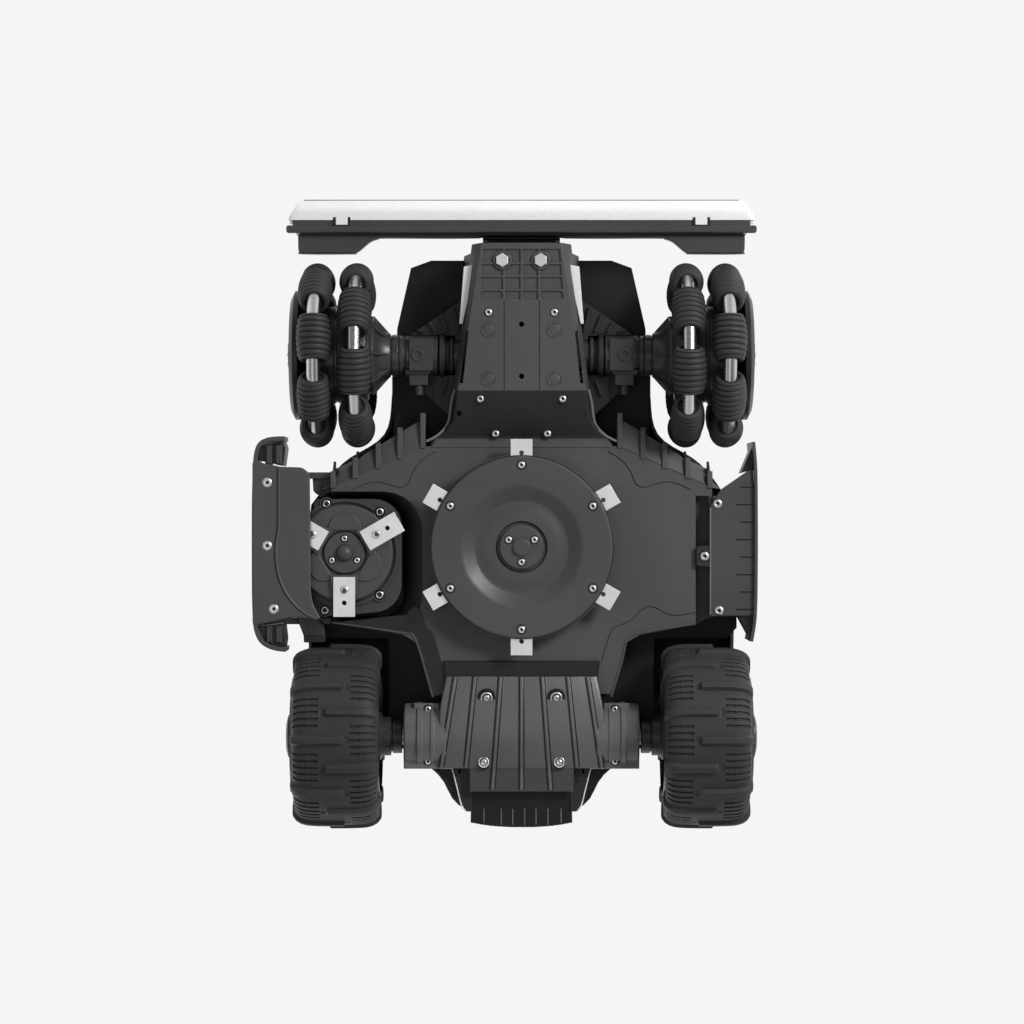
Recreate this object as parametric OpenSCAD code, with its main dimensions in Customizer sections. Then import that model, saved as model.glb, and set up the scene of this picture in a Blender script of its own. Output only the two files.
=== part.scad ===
// Four-wheel-drive robotic lawn mower, seen as a set of separate parts.
// +Z is up, the front faces -Y, the machine's left side is +X, and the ground is z = 0.

/* [Wheels] */
// Outer radius of all four wheels
wheel_r = 86; // [84:1:88]
// Distance from the front axle to the rear axle
wheelbase = 355; // [350:1:360]
// Distance from the middle plane to the middle of a rear tyre
rear_track = 171; // [170:1:172]
// Width of a rear tyre
tyre_w = 82; // [78:1:84]
// Number of lugs in each row of a rear tyre
lug_count = 10; // [8:1:12]

/* [Omni wheels] */
// Rollers in each of a wheel's two rows
rollers_per_row = 8; // [8:1:8]
// Distance from the middle plane to the inner row
inner_row_x = 153; // [152:1:154]
// Distance from the middle plane to the outer row
outer_row_x = 190; // [189:1:191]
// Largest radius of a roller
roller_r = 16; // [15:0.5:16.5]
// Length of a roller
roller_len = 42; // [40:1:43]
// Radius of the pins that the rollers turn on
pin_r = 3; // [2.5:0.1:3.5]
// Gap between a pin and its roller
pin_gap = 0.08; // [0.05:0.01:0.1]

/* [Chassis] */
// Height of the flat underside above the ground
deck_z = 72; // [70:1:74]
// Height of the keel's flat underside above the ground
keel_z = 48; // [46:1:50]
// Height of the floor of the upper tub
tub_z = 118; // [117:1:120]
// Height of the tub's rim, where the upper shell sits
rim_z = 180; // [180:1:184]
// Thickness of the moulded walls
wall = 3; // [2.5:0.5:3.5]

/* [Cutting discs] */
// Radius of the main skid disc
disc_r = 84; // [82:1:86]
// Height of the main skid disc's underside above the ground
disc_z = 46; // [44:1:48]
// Blades on the main disc
disc_blade_count = 6; // [3:1:6]
// Radius of the edge trimming disc
edge_disc_r = 44.5; // [43:0.5:45]
// Blades on the edge disc
edge_blade_count = 3; // [3:1:3]
// Width of a blade
blade_w = 20; // [18:1:22]
// Length of a blade
blade_len = 36.7; // [34:0.1:37]

/* [Bumper] */
// Half the width of the bumper cover
bumper_half_w = 216; // [212:1:217]
// Height of the bumper's lower edge above the ground
bumper_z = 64; // [60:1:70]
// Height of the bumper
bumper_h = 84; // [80:1:88]

/* [Upper shell] */
// Height of the crown of the shell above the ground
crown_z = 238; // [232:1:242]
// Height of the top of the sensor turret above the ground
turret_z = 285; // [275:1:290]
// Radius of the stop button
button_r = 21; // [18:1:22]

/* [Hidden] */
$fn = 96;
centre_x = 14.5; // the edge guard reaches further than the skirt, so the middle plane is off the origin
front_y = -147;
rear_y = front_y + wheelbase;
axle_z = wheel_r;
eps = 0.01;

SIDES = ["left", "right"];
ROWS = ["inner", "outer"];
ROLLER_NODES = [
    for (side = SIDES, row = ROWS, i = [1 : rollers_per_row]) str("roller_", side, "_", row, "_", i)
];

GREY = "#545454";
RUBBER = "#3c3c3c";
STEEL = "#cfcfcf";
WHITE = "#f2f2f2";

// --- Helpers ---

// The whole model is drawn about the middle plane and then moved so that its box is centred.
module placed() translate([centre_x, 0, 0]) children();

// Draws the children and their mirror image across the middle plane.
module both_sides() {
    children();
    mirror([1, 0, 0]) children();
}

// Turns a shape drawn along +Z so that it lies along +X at a wheel's axle.
module on_axle(y) translate([0, y, axle_z]) rotate([0, 90, 0]) children();

// A closed outline from the points of its +X half, listed from front to rear.
function mirrored(half) = concat(half, [for (i = [len(half) - 1 : -1 : 0]) [-half[i][0], half[i][1]]]);

function unit(v) = v / norm(v);

function left_of(v) = [-v[1], v[0]];

// The outline moved inwards by d; the points run counter-clockwise.
function inset(pts, d) = [
    for (i = [0 : len(pts) - 1])
        let (
            p = pts[i],
            u = unit(p - pts[(i + len(pts) - 1) % len(pts)]),
            v = unit(pts[(i + 1) % len(pts)] - p)
        )
        p + d * (left_of(u) + left_of(v)) / (1 + u * v)
];

// The path moved sideways by d, to its left where d is positive.
function beside(pts, d) = let (last = len(pts) - 1) [
    for (i = [0 : last])
        let (
            u = unit(pts[max(i, 1)] - pts[max(i, 1) - 1]),
            v = unit(pts[min(i, last - 1) + 1] - pts[min(i, last - 1)])
        )
        pts[i] + d * (left_of(u) + left_of(v)) / (1 + u * v)
];

// The outline of a band of width w along a path.
function ribbon(pts, w) = let (left = beside(pts, w / 2)) concat(
    beside(pts, -w / 2), [for (i = [len(left) - 1 : -1 : 0]) left[i]]
);

// A smooth curve through the points, with n steps between two of them.
function curve(pts, n = 5) = concat([
    for (i = [0 : len(pts) - 2], k = [0 : n - 1])
        let (
            a = pts[max(i - 1, 0)], b = pts[i], c = pts[i + 1], d = pts[min(i + 2, len(pts) - 1)],
            t = k / n
        )
        (2 * b + (c - a) * t + (2 * a - 5 * b + 4 * c - d) * t * t
            + (3 * b - a - 3 * c + d) * t * t * t) / 2
], [pts[len(pts) - 1]]);

// Points of an arc about c from angle a0 to a1.
function arc(c, r, a0, a1, n = 6) = [
    for (i = [0 : n]) c + r * [cos(a0 + (a1 - a0) * i / n), sin(a0 + (a1 - a0) * i / n)]
];

module slab(pts, z0, z1) translate([0, 0, z0]) linear_extrude(z1 - z0) polygon(pts);

// A straight groove or rib between two points of the plan, w wide, from z0 to z1.
module strip(a, b, w, z0, z1) {
    d = b - a;
    translate([a[0], a[1], z0]) rotate([0, 0, atan2(d[1], d[0])])
        translate([0, -w / 2, 0]) cube([norm(d), w, z1 - z0]);
}

// A wall or groove of width w that follows a list of plan points, with mitred corners.
module strips(pts, w, z0, z1) slab(ribbon(pts, w), z0, z1);

// An upright round pin from z0 to z1 at a point of the plan.
module post(p, r, z0, z1) translate([p[0], p[1], z0]) cylinder(h = z1 - z0, r = r);

// --- Chassis ---

DECK_HALF = [[92, -62], [177, -24], [177, 96], [164, 103], [110, 113], [98, 120], [84, 168]];
TUB_HALF = [
    [85, -238], [104, -231], [117, -174], [121, -68], [172, -42], [198, -8],
    [203, 30], [203, 108], [194, 118], [125, 118], [125, 214], [76, 244], [50, 262]
];
disc_centre = [0, 31.4];
edge_centre = [-163.2, 36.8];
slope_reach = 17; // how far the deck's front wall leans forward over its height
pivot_r = 8;
pivot_front_y = front_y - 58;
pivot_depth = 17; // how far the axle's front pivot reaches into the post
post_front_y = -242;
column_r = 40; // the cutter carriage's column
column_gap = 1;
pocket_z = 104; // ceiling of the edge cutter's pocket
band_x = 161.7; // inner edge of the dark band beside the skirt
fin_xs = [92, 112.5, 133.6, 154.2, 175.7];
KEEL_BOLTS = [[17.7, -233]];
KEEL_SCREWS = [[30.3, -185, 48.2], [38, -105.5, 52], [24, -73.6, 68]]; // with the height of each seat
TUBE_SCREWS = [[87, 182, 75], [87, 231, 70]];
COVER_BOLTS = [[32.3, 171], [35, 232]];
SKIRT_SCREWS = [[181.8, -8.8], [169.8, 40], [183.2, 90.4]];
GUARD_SCREWS = [[-233.5, -28.2], [-233.5, 29.9], [-227.4, 88]];
HOUSING_BOLTS = [[-180.5, -8.5], [-131.2, -1], [-131.5, 75.5], [-182, 89.8]];

// Y of the deck's front edge at a distance x from the middle plane.
function deck_front(x) = -62 + (x - 92) * 38 / 85;

// The pocket's outline, open on the outer side, with round corners at the front and the rear.
function pocket(x1, y0, y1, front_r, rear_r) = concat(
    arc([x1 - front_r, y0 + front_r], front_r, -90, 0),
    arc([x1 - rear_r, y1 - rear_r], rear_r, 0, 90),
    [[-215, y1], [-215, y0]]
);

module front_slope() {
    hull() {
        slab([[92, -62], [177, -24], [177, -10], [92, -10]], deck_z, deck_z + eps);
        slab([[92, -62 - slope_reach], [177, -24 - slope_reach], [177, -10], [92, -10]],
            tub_z - eps, tub_z);
    }
    for (x = fin_xs) slope_fin(x);
}

// A thin upright fin on the sloping front wall, narrow at the bottom and wider at the top.
module slope_fin(x) {
    y = deck_front(x);
    translate([x - 1.2, 0, 0]) rotate([90, 0, 90]) linear_extrude(2.4)
        polygon([[y + 4, deck_z + 1], [y - 1, deck_z + 1], [y - slope_reach - 7, tub_z], [y + 4, tub_z]]);
}

// The spine's front post, which carries the keel and the axle's front pivot.
module front_post() hull() {
    slab([[44, post_front_y], [48, pivot_front_y], [-48, pivot_front_y], [-44, post_front_y]],
        keel_z + 18, keel_z + 18 + eps);
    slab([[54, post_front_y], [57, pivot_front_y], [-57, pivot_front_y], [-54, post_front_y]],
        tub_z, tub_z + wall);
}

// Sloping sides and ceiling of the pocket that the edge cutter sits in.
module edge_pocket() hull() {
    slab(pocket(-92, -20, 102, 36, 24), deck_z - eps, deck_z);
    slab(pocket(-110.5, -13.5, 96.8, 25, 20), pocket_z - eps, pocket_z);
}

WAVE_HALF = [
    [-157, -21.4], [-144.4, -27], [-133.6, -28.6], [-122.8, -26], [-113.6, -23.7], [-106, -27],
    [-101.2, -37.9], [-96, -45.6], [-89, -51.7], [-80, -57]
];
WAVE_REAR = [
    [161, 92.5], [150.8, 94.8], [139.9, 95.2], [131.7, 92.5], [124.9, 88.4], [118.1, 87.3], [109.9, 91.1],
    [103.1, 98.6], [90.9, 104.7], [84, 108.4], [80, 117.6], [76.5, 128.5], [74, 137]
];

module chassis_deck() color(GREY) placed() {
    outer = mirrored(DECK_HALF);
    tub = mirrored(TUB_HALF);
    difference() {
        union() {
            slab(outer, deck_z, tub_z + wall);
            both_sides() front_slope();
            slab(tub, tub_z, rim_z);
            front_post();
        }
        difference() {
            slab(inset(outer, wall), deck_z + wall, tub_z + wall + eps);
            slab([[-84, -30], [-84, 106], [-200, 110], [-200, -30]], deck_z, pocket_z + wall);
            both_sides() slab([[band_x - wall, -22], [180, -22], [180, 110], [band_x - wall, 110]],
                deck_z, deck_z + 15);
            translate([0, disc_centre[1], deck_z]) cylinder(h = 22, r = column_r + column_gap + wall);
            for (p = COVER_BOLTS) both_sides() post(p, 7, deck_z, deck_z + 12);
        }
        slab(inset(tub, wall), tub_z + wall, rim_z + eps);
        edge_pocket();
        slab([[band_x, -16], [174, -16], [174, 104], [band_x, 104]], deck_z - 1, deck_z + 12);
        post(disc_centre, column_r + column_gap, deck_z - 1, deck_z + 30);
        translate([0, pivot_front_y + 1, axle_z]) rotate([90, 0, 0])
            cylinder(h = pivot_depth + 3, r = pivot_r + pin_gap);
        translate([0, -40, axle_z]) rotate([90, 0, 0]) cylinder(h = 40, r = pivot_r + pin_gap);
        both_sides() strips(curve(WAVE_HALF), 1.2, deck_z - 1, deck_z + 0.9);
        strips(curve(WAVE_REAR), 1.2, deck_z - 1, deck_z + 0.9);
        for (p = KEEL_BOLTS) both_sides() post(p, 2.6, keel_z, tub_z - 20);
    }
}

// --- Keel cover ---

keel_front_w = 37.3;
keel_rear_w = 59;
keel_bend_y = -113;
keel_top_z = keel_z + 18;
recess_depth = 1.4;
keel_hole_pitch = 48;
keel_hole_r = 2.5;

module keel_shape(grow) {
    hull() {
        slab([[keel_front_w + grow, -249 - grow], [keel_rear_w + grow, keel_bend_y],
            [-keel_rear_w - grow, keel_bend_y], [-keel_front_w - grow, -249 - grow]],
            keel_z - grow, keel_z - grow + eps);
        slab([[46 + grow, -249 - grow], [63 + grow, keel_bend_y], [-63 - grow, keel_bend_y],
            [-46 - grow, -249 - grow]], keel_top_z - eps, keel_top_z);
    }
}

// The part that rises from the flat keel to the deck and flares out on both sides.
module keel_flare(low) hull() {
    slab([[keel_rear_w + 1, keel_bend_y], [-keel_rear_w - 1, keel_bend_y],
        [-keel_rear_w - 1, keel_bend_y + 1], [keel_rear_w + 1, keel_bend_y + 1]],
        keel_z + low, keel_z + low + eps);
    slab([[63, keel_bend_y], [67, -93], [74, -80], [76, -68], [-76, -68], [-74, -80], [-67, -93],
        [-63, keel_bend_y]], deck_z - 1 + low, deck_z - 1 + low + eps);
    slab([[74, -72], [74, -68], [-74, -68], [-74, -72]], deck_z - 3 + low, deck_z - 2 + low);
}

module keel_cover() color("#505050") placed() {
    difference() {
        union() {
            difference() {
                keel_shape(0);
                translate([0, 3, 0]) keel_shape(-wall);
            }
            difference() {
                keel_flare(0);
                translate([0, -1, 2.5]) scale([0.94, 1, 1]) keel_flare(0);
            }
            for (p = KEEL_BOLTS) both_sides() post(p, 9, keel_z + 1, keel_top_z);
            for (y = [-185, -150, -120]) both_sides() post([30.3, y], 7.2, keel_z - 0.6, keel_z + 2);
        }
        // ribbed recess in the front half
        difference() {
            slab([[37, -241], [39.5, -196], [-39.5, -196], [-37, -241]], keel_z - 1, keel_z + recess_depth);
            for (x = [-17, 0, 17]) translate([x - 1, -250, keel_z - 2]) cube([2, 60, 10]);
            for (y = [-227, -216, -203]) translate([-45, y - 0.8, keel_z - 2]) cube([90, 1.6, 10]);
            for (p = KEEL_BOLTS) both_sides() post(p, 9, keel_z - 2, keel_z + 8);
        }
        for (p = KEEL_BOLTS) both_sides() {
            post(p, 7.4, keel_z - 2, keel_z + 2);
            post(p, 3.1, keel_z, keel_top_z + 1);
        }
        for (dy = [-keel_hole_pitch / 2, keel_hole_pitch / 2])
            post([0, -150 + dy], keel_hole_r, keel_z - 1, keel_z + 8);
        for (x = [-17, 17]) translate([x - 0.6, -195, keel_z - 1]) cube([1.2, 80, 1.6]);
        both_sides() {
            strip([50.5, -167], [54.8, -120], 3, keel_z - 1, keel_z + 8);
            post([57.3, -92], 2.4, keel_z, deck_z + 8);
        }
    }
}

// --- Axle cover and tail ---

cover_r = 28.5;
cover_half = 109.4;
cover_z = axle_z - cover_r;

COVER_HALF = [[70, 151], [75, 181], [75, 236], [47.8, 256]];

module cover_ribs() {
    tops = [66.5, 46.5, 21.5, 0];
    ends = [80.5, 54.5, 28.5, 0];
    for (i = [0 : 3]) both_sides()
        strip([tops[i] * 0.93, 151], [ends[i] * 0.93, 254 - i * 0.5], 2.2, cover_z - 2.2, cover_z + 4);
}

module rear_axle_cover() color("#767676") placed() difference() {
    union() {
        on_axle(rear_y) translate([0, 0, -cover_half]) cylinder(h = 2 * cover_half, r = cover_r);
        slab(mirrored(COVER_HALF), cover_z, deck_z - 0.3);
        slab(mirrored([[72, 137], [74, 152]]), cover_z + 8, deck_z);
        intersection() {
            cover_ribs();
            slab(mirrored(COVER_HALF), cover_z - 5, deck_z);
        }
        for (x = [-cover_half, cover_half - 6])
            translate([x, rear_y - 14, axle_z]) cube([6, 28, tub_z - axle_z]);
    }
    on_axle(rear_y) translate([0, 0, -cover_half - 1]) cylinder(h = 2 * cover_half + 2, r = cover_r - wall);
    difference() {
        slab(inset(mirrored(COVER_HALF), wall), cover_z + wall, deck_z + 7);
        for (p = COVER_BOLTS) both_sides() post(p, 7.8, cover_z, deck_z + 8);
    }
    for (p = COVER_BOLTS) both_sides() post(p, p[1] < 200 ? 6 : 4.5, cover_z - 3, cover_z + 3);
}

module tail_grille() color("#2e2e2e") placed() difference() {
    slab(mirrored([[49, 262.5], [47, 283], [26, 290], [10, 292]]), tub_z, rim_z - 2);
    slab(mirrored([[44, 266], [43, 280], [24, 286], [10, 288]]), tub_z + 4, rim_z - 6);
    for (i = [-5 : 5]) translate([i * 7.4 - 2, 276, tub_z + 8]) cube([4, 20, rim_z - tub_z - 20]);
    for (i = [-5 : 5]) translate([i * 7.4 - 1.6, 264, tub_z - 1]) cube([3.2, 16, 10]);
}

// --- Side skirt on the left ---

SKIRT_PLATE = [[174.7, -7], [185, -22], [214, -42], [216, -20], [216, 95], [174.7, 96]];
SKIRT_WALL = [[215, -66], [217, -40], [217.5, 0], [217.5, 50], [216.5, 95], [213, 119]];
skirt_z = deck_z - 6;

module side_skirt() color("#4c4c4c") placed() difference() {
    union() {
        slab(SKIRT_PLATE, skirt_z, skirt_z + 4);
        strips(SKIRT_WALL, wall, skirt_z - 4, deck_z + 60);
        translate([177.3, -16, skirt_z]) cube([3, 110, 44]);
        for (y = [-12, 86]) translate([178, y, skirt_z + 30]) cube([40, 4, 12]);
        slab([[162, 31], [178, 29], [178, 51], [162, 49]], skirt_z + 0.5, skirt_z + 4);
        for (i = [0 : 7]) translate([199, -28 + i * 16.6, skirt_z - 1]) cube([15, 1.2, 2]);
    }
    for (p = SKIRT_SCREWS) post(p, 5.6, skirt_z - 2, skirt_z + 1.6);
}

// --- Edge cutter on the right ---

HOUSING = concat(
    arc([-137, 13], 26, -90, 0), arc([-137, 66], 26, 0, 90),
    [[-188, 96], [-192, 92], [-192, -9], [-188, -13]]
);
housing_z = 62;

module edge_housing() color("#474747") placed() difference() {
    union() {
        slab(HOUSING, housing_z, pocket_z - 0.05);
        post(edge_centre, 50, housing_z - 3, housing_z + 1);
        for (p = HOUSING_BOLTS) post(p, 6.4, housing_z - 2, housing_z + 2);
    }
    post(edge_centre, 47, housing_z - 4, housing_z - 1);
    post(edge_centre, 18, housing_z - 4, housing_z + 30);
    for (p = HOUSING_BOLTS) post(p, 4.9, housing_z - 3, housing_z + 4);
}

guard_z = 38;
GUARD_WALL = [
    [-218, -67], [-232, -68], [-241, -62], [-244.5, -48], [-246, 0], [-246, 60], [-244.5, 102],
    [-240, 116], [-233, 123], [-217, 123.5]
];
GUARD_PLATE = [
    [-246, -48], [-218, -41], [-201, -43], [-195, -41], [-192, -36], [-192, 73], [-189, 88], [-184, 98],
    [-209, 95], [-244, 103], [-246, 90]
];
GUARD_GROOVE = [
    [-223, -40], [-223, 14], [-225.4, 33], [-225, 44], [-222, 58], [-216, 72], [-207, 85],
    [-196, 94], [-187, 98]
];

module edge_guard() color("#4d4d4d") placed() difference() {
    union() {
        strips(GUARD_WALL, 4, guard_z, 92);
        slab(GUARD_PLATE, guard_z, guard_z + 3.5);
        for (y = [-38, 97.5]) translate([-245, y, 80]) cube([67.7, 6, 12]);
        for (y = [-67, 114]) for (x = [-234, -224]) translate([x, y, guard_z + 1]) cube([4, 9, 52]);
    }
    strips(curve(GUARD_GROOVE, 3), 1.2, guard_z - 1, guard_z + 1);
    for (p = GUARD_SCREWS) post(p, 4.9, guard_z - 1, guard_z + 1.5);
}

// --- Bumper ---

bumper_front_y = -294;
tray_front_y = -273;
tray_rear_y = -258;

// Side view of the bumper cover's outer face: a bulging curve from the bottom edge to the top edge.
function bumper_profile(t) = concat(
    [[tray_front_y + 2, bumper_z + t]],
    [for (i = [0 : 10]) let (a = -80 + 16 * i)
        [tray_front_y - 4 - (17 - t) * cos(a), bumper_z + bumper_h / 2 + (bumper_h / 2 - t) * sin(a)]],
    [[tray_front_y + 2, bumper_z + bumper_h - t]]
);

BUMPER_PLAN = [
    [bumper_half_w, tray_front_y - 1], [bumper_half_w - 1, tray_front_y - 8],
    [bumper_half_w - 9, bumper_front_y - 1]
];

module bumper_prism(t) intersection() {
    translate([-bumper_half_w, 0, 0]) rotate([90, 0, 90]) linear_extrude(2 * bumper_half_w)
        polygon(bumper_profile(t));
    slab(inset(mirrored([for (i = [2 : -1 : 0]) BUMPER_PLAN[i]]), t),
        bumper_z - 1, bumper_z + bumper_h + 1);
}

module bumper_cover() color(WHITE) placed() difference() {
    bumper_prism(0);
    bumper_prism(wall);
    translate([6 - bumper_half_w, tray_front_y - 5, bumper_z + 6])
        cube([2 * bumper_half_w - 12, 10, bumper_h - 12]);
}

module bumper_tray() color("#3f3f3f") placed() {
    slab(mirrored([[bumper_half_w + 2, tray_front_y + 5], [bumper_half_w + 2, tray_rear_y - 2],
        [bumper_half_w, tray_rear_y]]), bumper_z + 2, bumper_z + 6);
    slab(mirrored([[bumper_half_w - 2, tray_front_y + 0.2], [bumper_half_w - 2, tray_rear_y - 8]]),
        bumper_z + 3, bumper_z + bumper_h - 4);
    both_sides() {
        slab([[208, tray_rear_y - 1], [207, -243], [204, -241], [158, -241], [148, -246],
            [138, tray_rear_y - 1]], bumper_z + 5, bumper_z + 22);
        for (x = [160, 188]) translate([x, tray_rear_y - 8, bumper_z + 20]) cube([3, 14, 40]);
    }
    for (y = [-263, -258, -253]) slab([[-36, y], [36, y], [36, y + 3.5], [-36, y + 3.5]], 84, 112);
    slab([[-32, -267], [32, -267], [32, -249.6], [-32, -249.6]], 87, 109);
}

// --- Front axle ---

BEAM = [
    [113, -160], [52, -201], [-52, -201], [-113, -160], [-108, -128], [-60, -84], [60, -84], [108, -128]
];
beam_z0 = axle_z - 5;
beam_z1 = axle_z + 18;
motor_r = 18.4;

module front_axle_beam() color("#3a3a3a") placed() difference() {
    union() {
        slab(BEAM, beam_z0 + 5, beam_z1 - 3);
        difference() {
            slab(BEAM, beam_z0, beam_z1);
            slab(inset(BEAM, 4), beam_z0 - 1, beam_z1 + 1);
        }
        both_sides() for (s = [-1, 1]) for (i = [0 : 3])
            strip([64 + i * 11, front_y + s * (45 - i * 7)], [58 + i * 11, front_y + s * 22], 2,
                beam_z0 + 1, beam_z1 - 1);
        both_sides() on_axle(front_y) translate([0, 0, 72]) cylinder(h = 4, r = 20.5);
        translate([0, pivot_front_y + 19, axle_z]) rotate([90, 0, 0])
            cylinder(h = 19 + pivot_depth, r = pivot_r);
        translate([0, -56, axle_z]) rotate([90, 0, 0]) cylinder(h = 45, r = pivot_r);
    }
    both_sides() on_axle(front_y) translate([0, 0, 20]) cylinder(h = 56, r = 14.05);
    both_sides() on_axle(front_y) translate([0, 0, 62]) cylinder(h = 60, r = motor_r + 0.02);
    both_sides() slab([[77, front_y - 19], [120, front_y - 19], [120, front_y + 19], [77, front_y + 19]],
        beam_z0 - 1, axle_z + 3);
    both_sides() slab([[82, -134], [110, -134], [110, -106], [82, -106]], beam_z0 - 1, axle_z + 3);
}

module front_gearmotor() {
    on_axle(front_y) rotate_extrude() polygon([
        [0, 21], [14, 21], [14, 63], [17, 64], [17, 66], [14.5, 68], [14.5, 69], [17, 71], [17, 73],
        [14.5, 75], [14.5, 76],
        [motor_r, 78], [motor_r, 107], [motor_r - 1.4, 107.8], [motor_r - 1.4, 109], [motor_r, 110],
        [motor_r, 113.4], [0, 113.4]
    ]);
    translate([82, front_y - 14.5, axle_z - motor_r - 1]) cube([22, 29, 8]);
    translate([96, front_y, axle_z - motor_r - 2.4]) difference() {
        cylinder(h = 4, r = 6);
        translate([0, 0, -1]) cylinder(h = 3, r = 3.2);
    }
    slab([[83, -133], [109, -133], [106, -129], [86, -129]], axle_z - 14, axle_z + 2);
    slab([[87, -130], [104, -130], [104, -119], [87, -119]], axle_z - 12, axle_z);
    translate([95.5, -120, axle_z - 6]) rotate([-90, 0, 0]) cylinder(h = 10, r = 4.5);
}

module front_gearmotors() color("#444444") placed() both_sides() front_gearmotor();

// --- Omni wheels ---

row_apothem = wheel_r - roller_r;
hub_r = 45;
sleeve_r = 6.7;
joint_r = 7.5; // the ball where two sleeves meet, large enough to hold both of their ends
arm_w = 5; // the arms pass between the rollers' ends
row_offset = [13.7, -10.4]; // angle of the inner and outer rows from the bottom, towards the rear

function row_x(row) = row == "inner" ? inner_row_x : outer_row_x;
function roller_angle(row, i) = (row == "inner" ? row_offset[0] : row_offset[1])
    + 360 * (i - 1) / rollers_per_row;

// Places the children on one roller's own axis, which runs along +Y when the roller is at the bottom.
module at_roller(row, i) translate([row_x(row), front_y, axle_z]) rotate([roller_angle(row, i), 0, 0])
    translate([0, 0, -row_apothem]) rotate([-90, 0, 0]) children();

function roller_outline(s) = sqrt(pow(wheel_r, 2) - s * s) - row_apothem;

ring_grooves = 6;
groove_w = 1.3;
groove_depth = 0.9;
end_round = 3;

// A roller's half section: a barrel that follows the wheel's outer circle, with ring grooves round it.
function roller_section() = let (half = roller_len / 2, pitch = (roller_len - 10) / ring_grooves) concat(
    [[pin_r + pin_gap, -half], [roller_outline(half) - end_round, -half]],
    arc([roller_outline(half - end_round) - end_round, -half + end_round], end_round, -60, -15, 2),
    [for (i = [0 : ring_grooves - 1], k = [0 : 3])
        let (s = -half + 5 + pitch * (i + 0.5) + (k < 2 ? -1 : 1) * groove_w / 2 * (k % 3 == 0 ? 1 : 0.7))
        [roller_outline(s) - (k % 3 == 0 ? 0 : groove_depth), s]],
    arc([roller_outline(half - end_round) - end_round, half - end_round], end_round, 15, 60, 2),
    [[roller_outline(half) - end_round, half], [pin_r + pin_gap, half]]
);

module on_side(side) {
    if (side == "left") children();
    else mirror([1, 0, 0]) children();
}

module roller(side, row, i) color(RUBBER) placed() on_side(side) at_roller(row, i)
    rotate_extrude() polygon(roller_section());

// One straight pin with a sleeve at each end, and the ball that joins it to the next pin.
module pin_and_sleeves() {
    gap = 0.6;
    corner = row_apothem * tan(180 / rollers_per_row);
    translate([0, 0, -corner]) cylinder(h = 2 * corner, r = pin_r);
    for (m = [0, 1]) mirror([0, 0, m])
        translate([0, 0, roller_len / 2 + gap]) cylinder(h = corner - roller_len / 2 - gap, r = sleeve_r);
    translate([0, 0, corner]) sphere(r = joint_r);
}

module omni_hub(side) color("#2a2a2a") placed() on_side(side) difference() {
    union() {
        on_axle(front_y) rotate_extrude() polygon([
            [0, 114], [19.5, 114], [19.5, 121], [24, 124], [26, 135], [34, 135], [34, 141],
            [hub_r - 3, 142], [hub_r, 145], [hub_r, 200], [54, 205], [60, 207], [60, 209.5],
            [50, 213], [36, 216.5], [0, 217.5]
        ]);
        for (row = ROWS) for (i = [1 : rollers_per_row]) {
            at_roller(row, i) pin_and_sleeves();
            translate([row_x(row), front_y, axle_z])
                rotate([roller_angle(row, i) + 180 / rollers_per_row, 0, 0])
                translate([-4, -arm_w / 2, -row_apothem - 3]) cube([8, arm_w, row_apothem - hub_r + 6]);
        }
    }
    for (a = [0 : 60 : 300])
        on_axle(front_y) rotate([0, 0, a]) translate([24, 0, 214]) cylinder(h = 6, r = 2.6);
}

module omni_hub_left() omni_hub("left");
module omni_hub_right() omni_hub("right");

// --- Rear wheels ---

tyre_in = rear_track - tyre_w / 2;
tyre_out = rear_track + tyre_w / 2;
lug_h = 3.6;
lug_w = 5;
rim_r = 58;
carcass_r = wheel_r - lug_h;

function tyre_edge(r0) = [
    [rim_r, tyre_in + 3], [rim_r + 8, tyre_in], [r0 - 12, tyre_in], [r0 - 4, tyre_in + 4.5],
    [r0, tyre_in + 13], [r0 + 0.4, rear_track], [r0, tyre_out - 13], [r0 - 4, tyre_out - 4.5],
    [r0 - 12, tyre_out], [rim_r + 8, tyre_out], [rim_r, tyre_out - 3]
];

// A cross lug from the shoulder to a little past the middle of the tread.
module lug(outer) {
    x0 = outer ? rear_track - 7 : tyre_in - 1;
    len = tyre_w / 2 + 8;
    translate([x0, 0, 0]) rotate([90, 0, 90]) linear_extrude(len)
        polygon([[-lug_w / 2 - 1.4, carcass_r - 16], [lug_w / 2 + 1.4, carcass_r - 16],
            [lug_w / 2, wheel_r + 1], [-lug_w / 2, wheel_r + 1]]);
}

module rear_tyre(side) color(RUBBER) placed() on_side(side) translate([0, rear_y, axle_z]) {
    rotate([0, 90, 0]) rotate_extrude() polygon(tyre_edge(carcass_r));
    intersection() {
        rotate([0, 90, 0]) rotate_extrude() polygon(tyre_edge(wheel_r - 0.4));
        union() for (i = [0 : lug_count - 1]) for (outer = [true, false])
            rotate([180 + 360 * (i + (outer ? 0 : 0.5)) / lug_count + 1, 0, 0]) lug(outer);
    }
}

module rear_tyre_left() rear_tyre("left");
module rear_tyre_right() rear_tyre("right");

spokes = 7;

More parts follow.
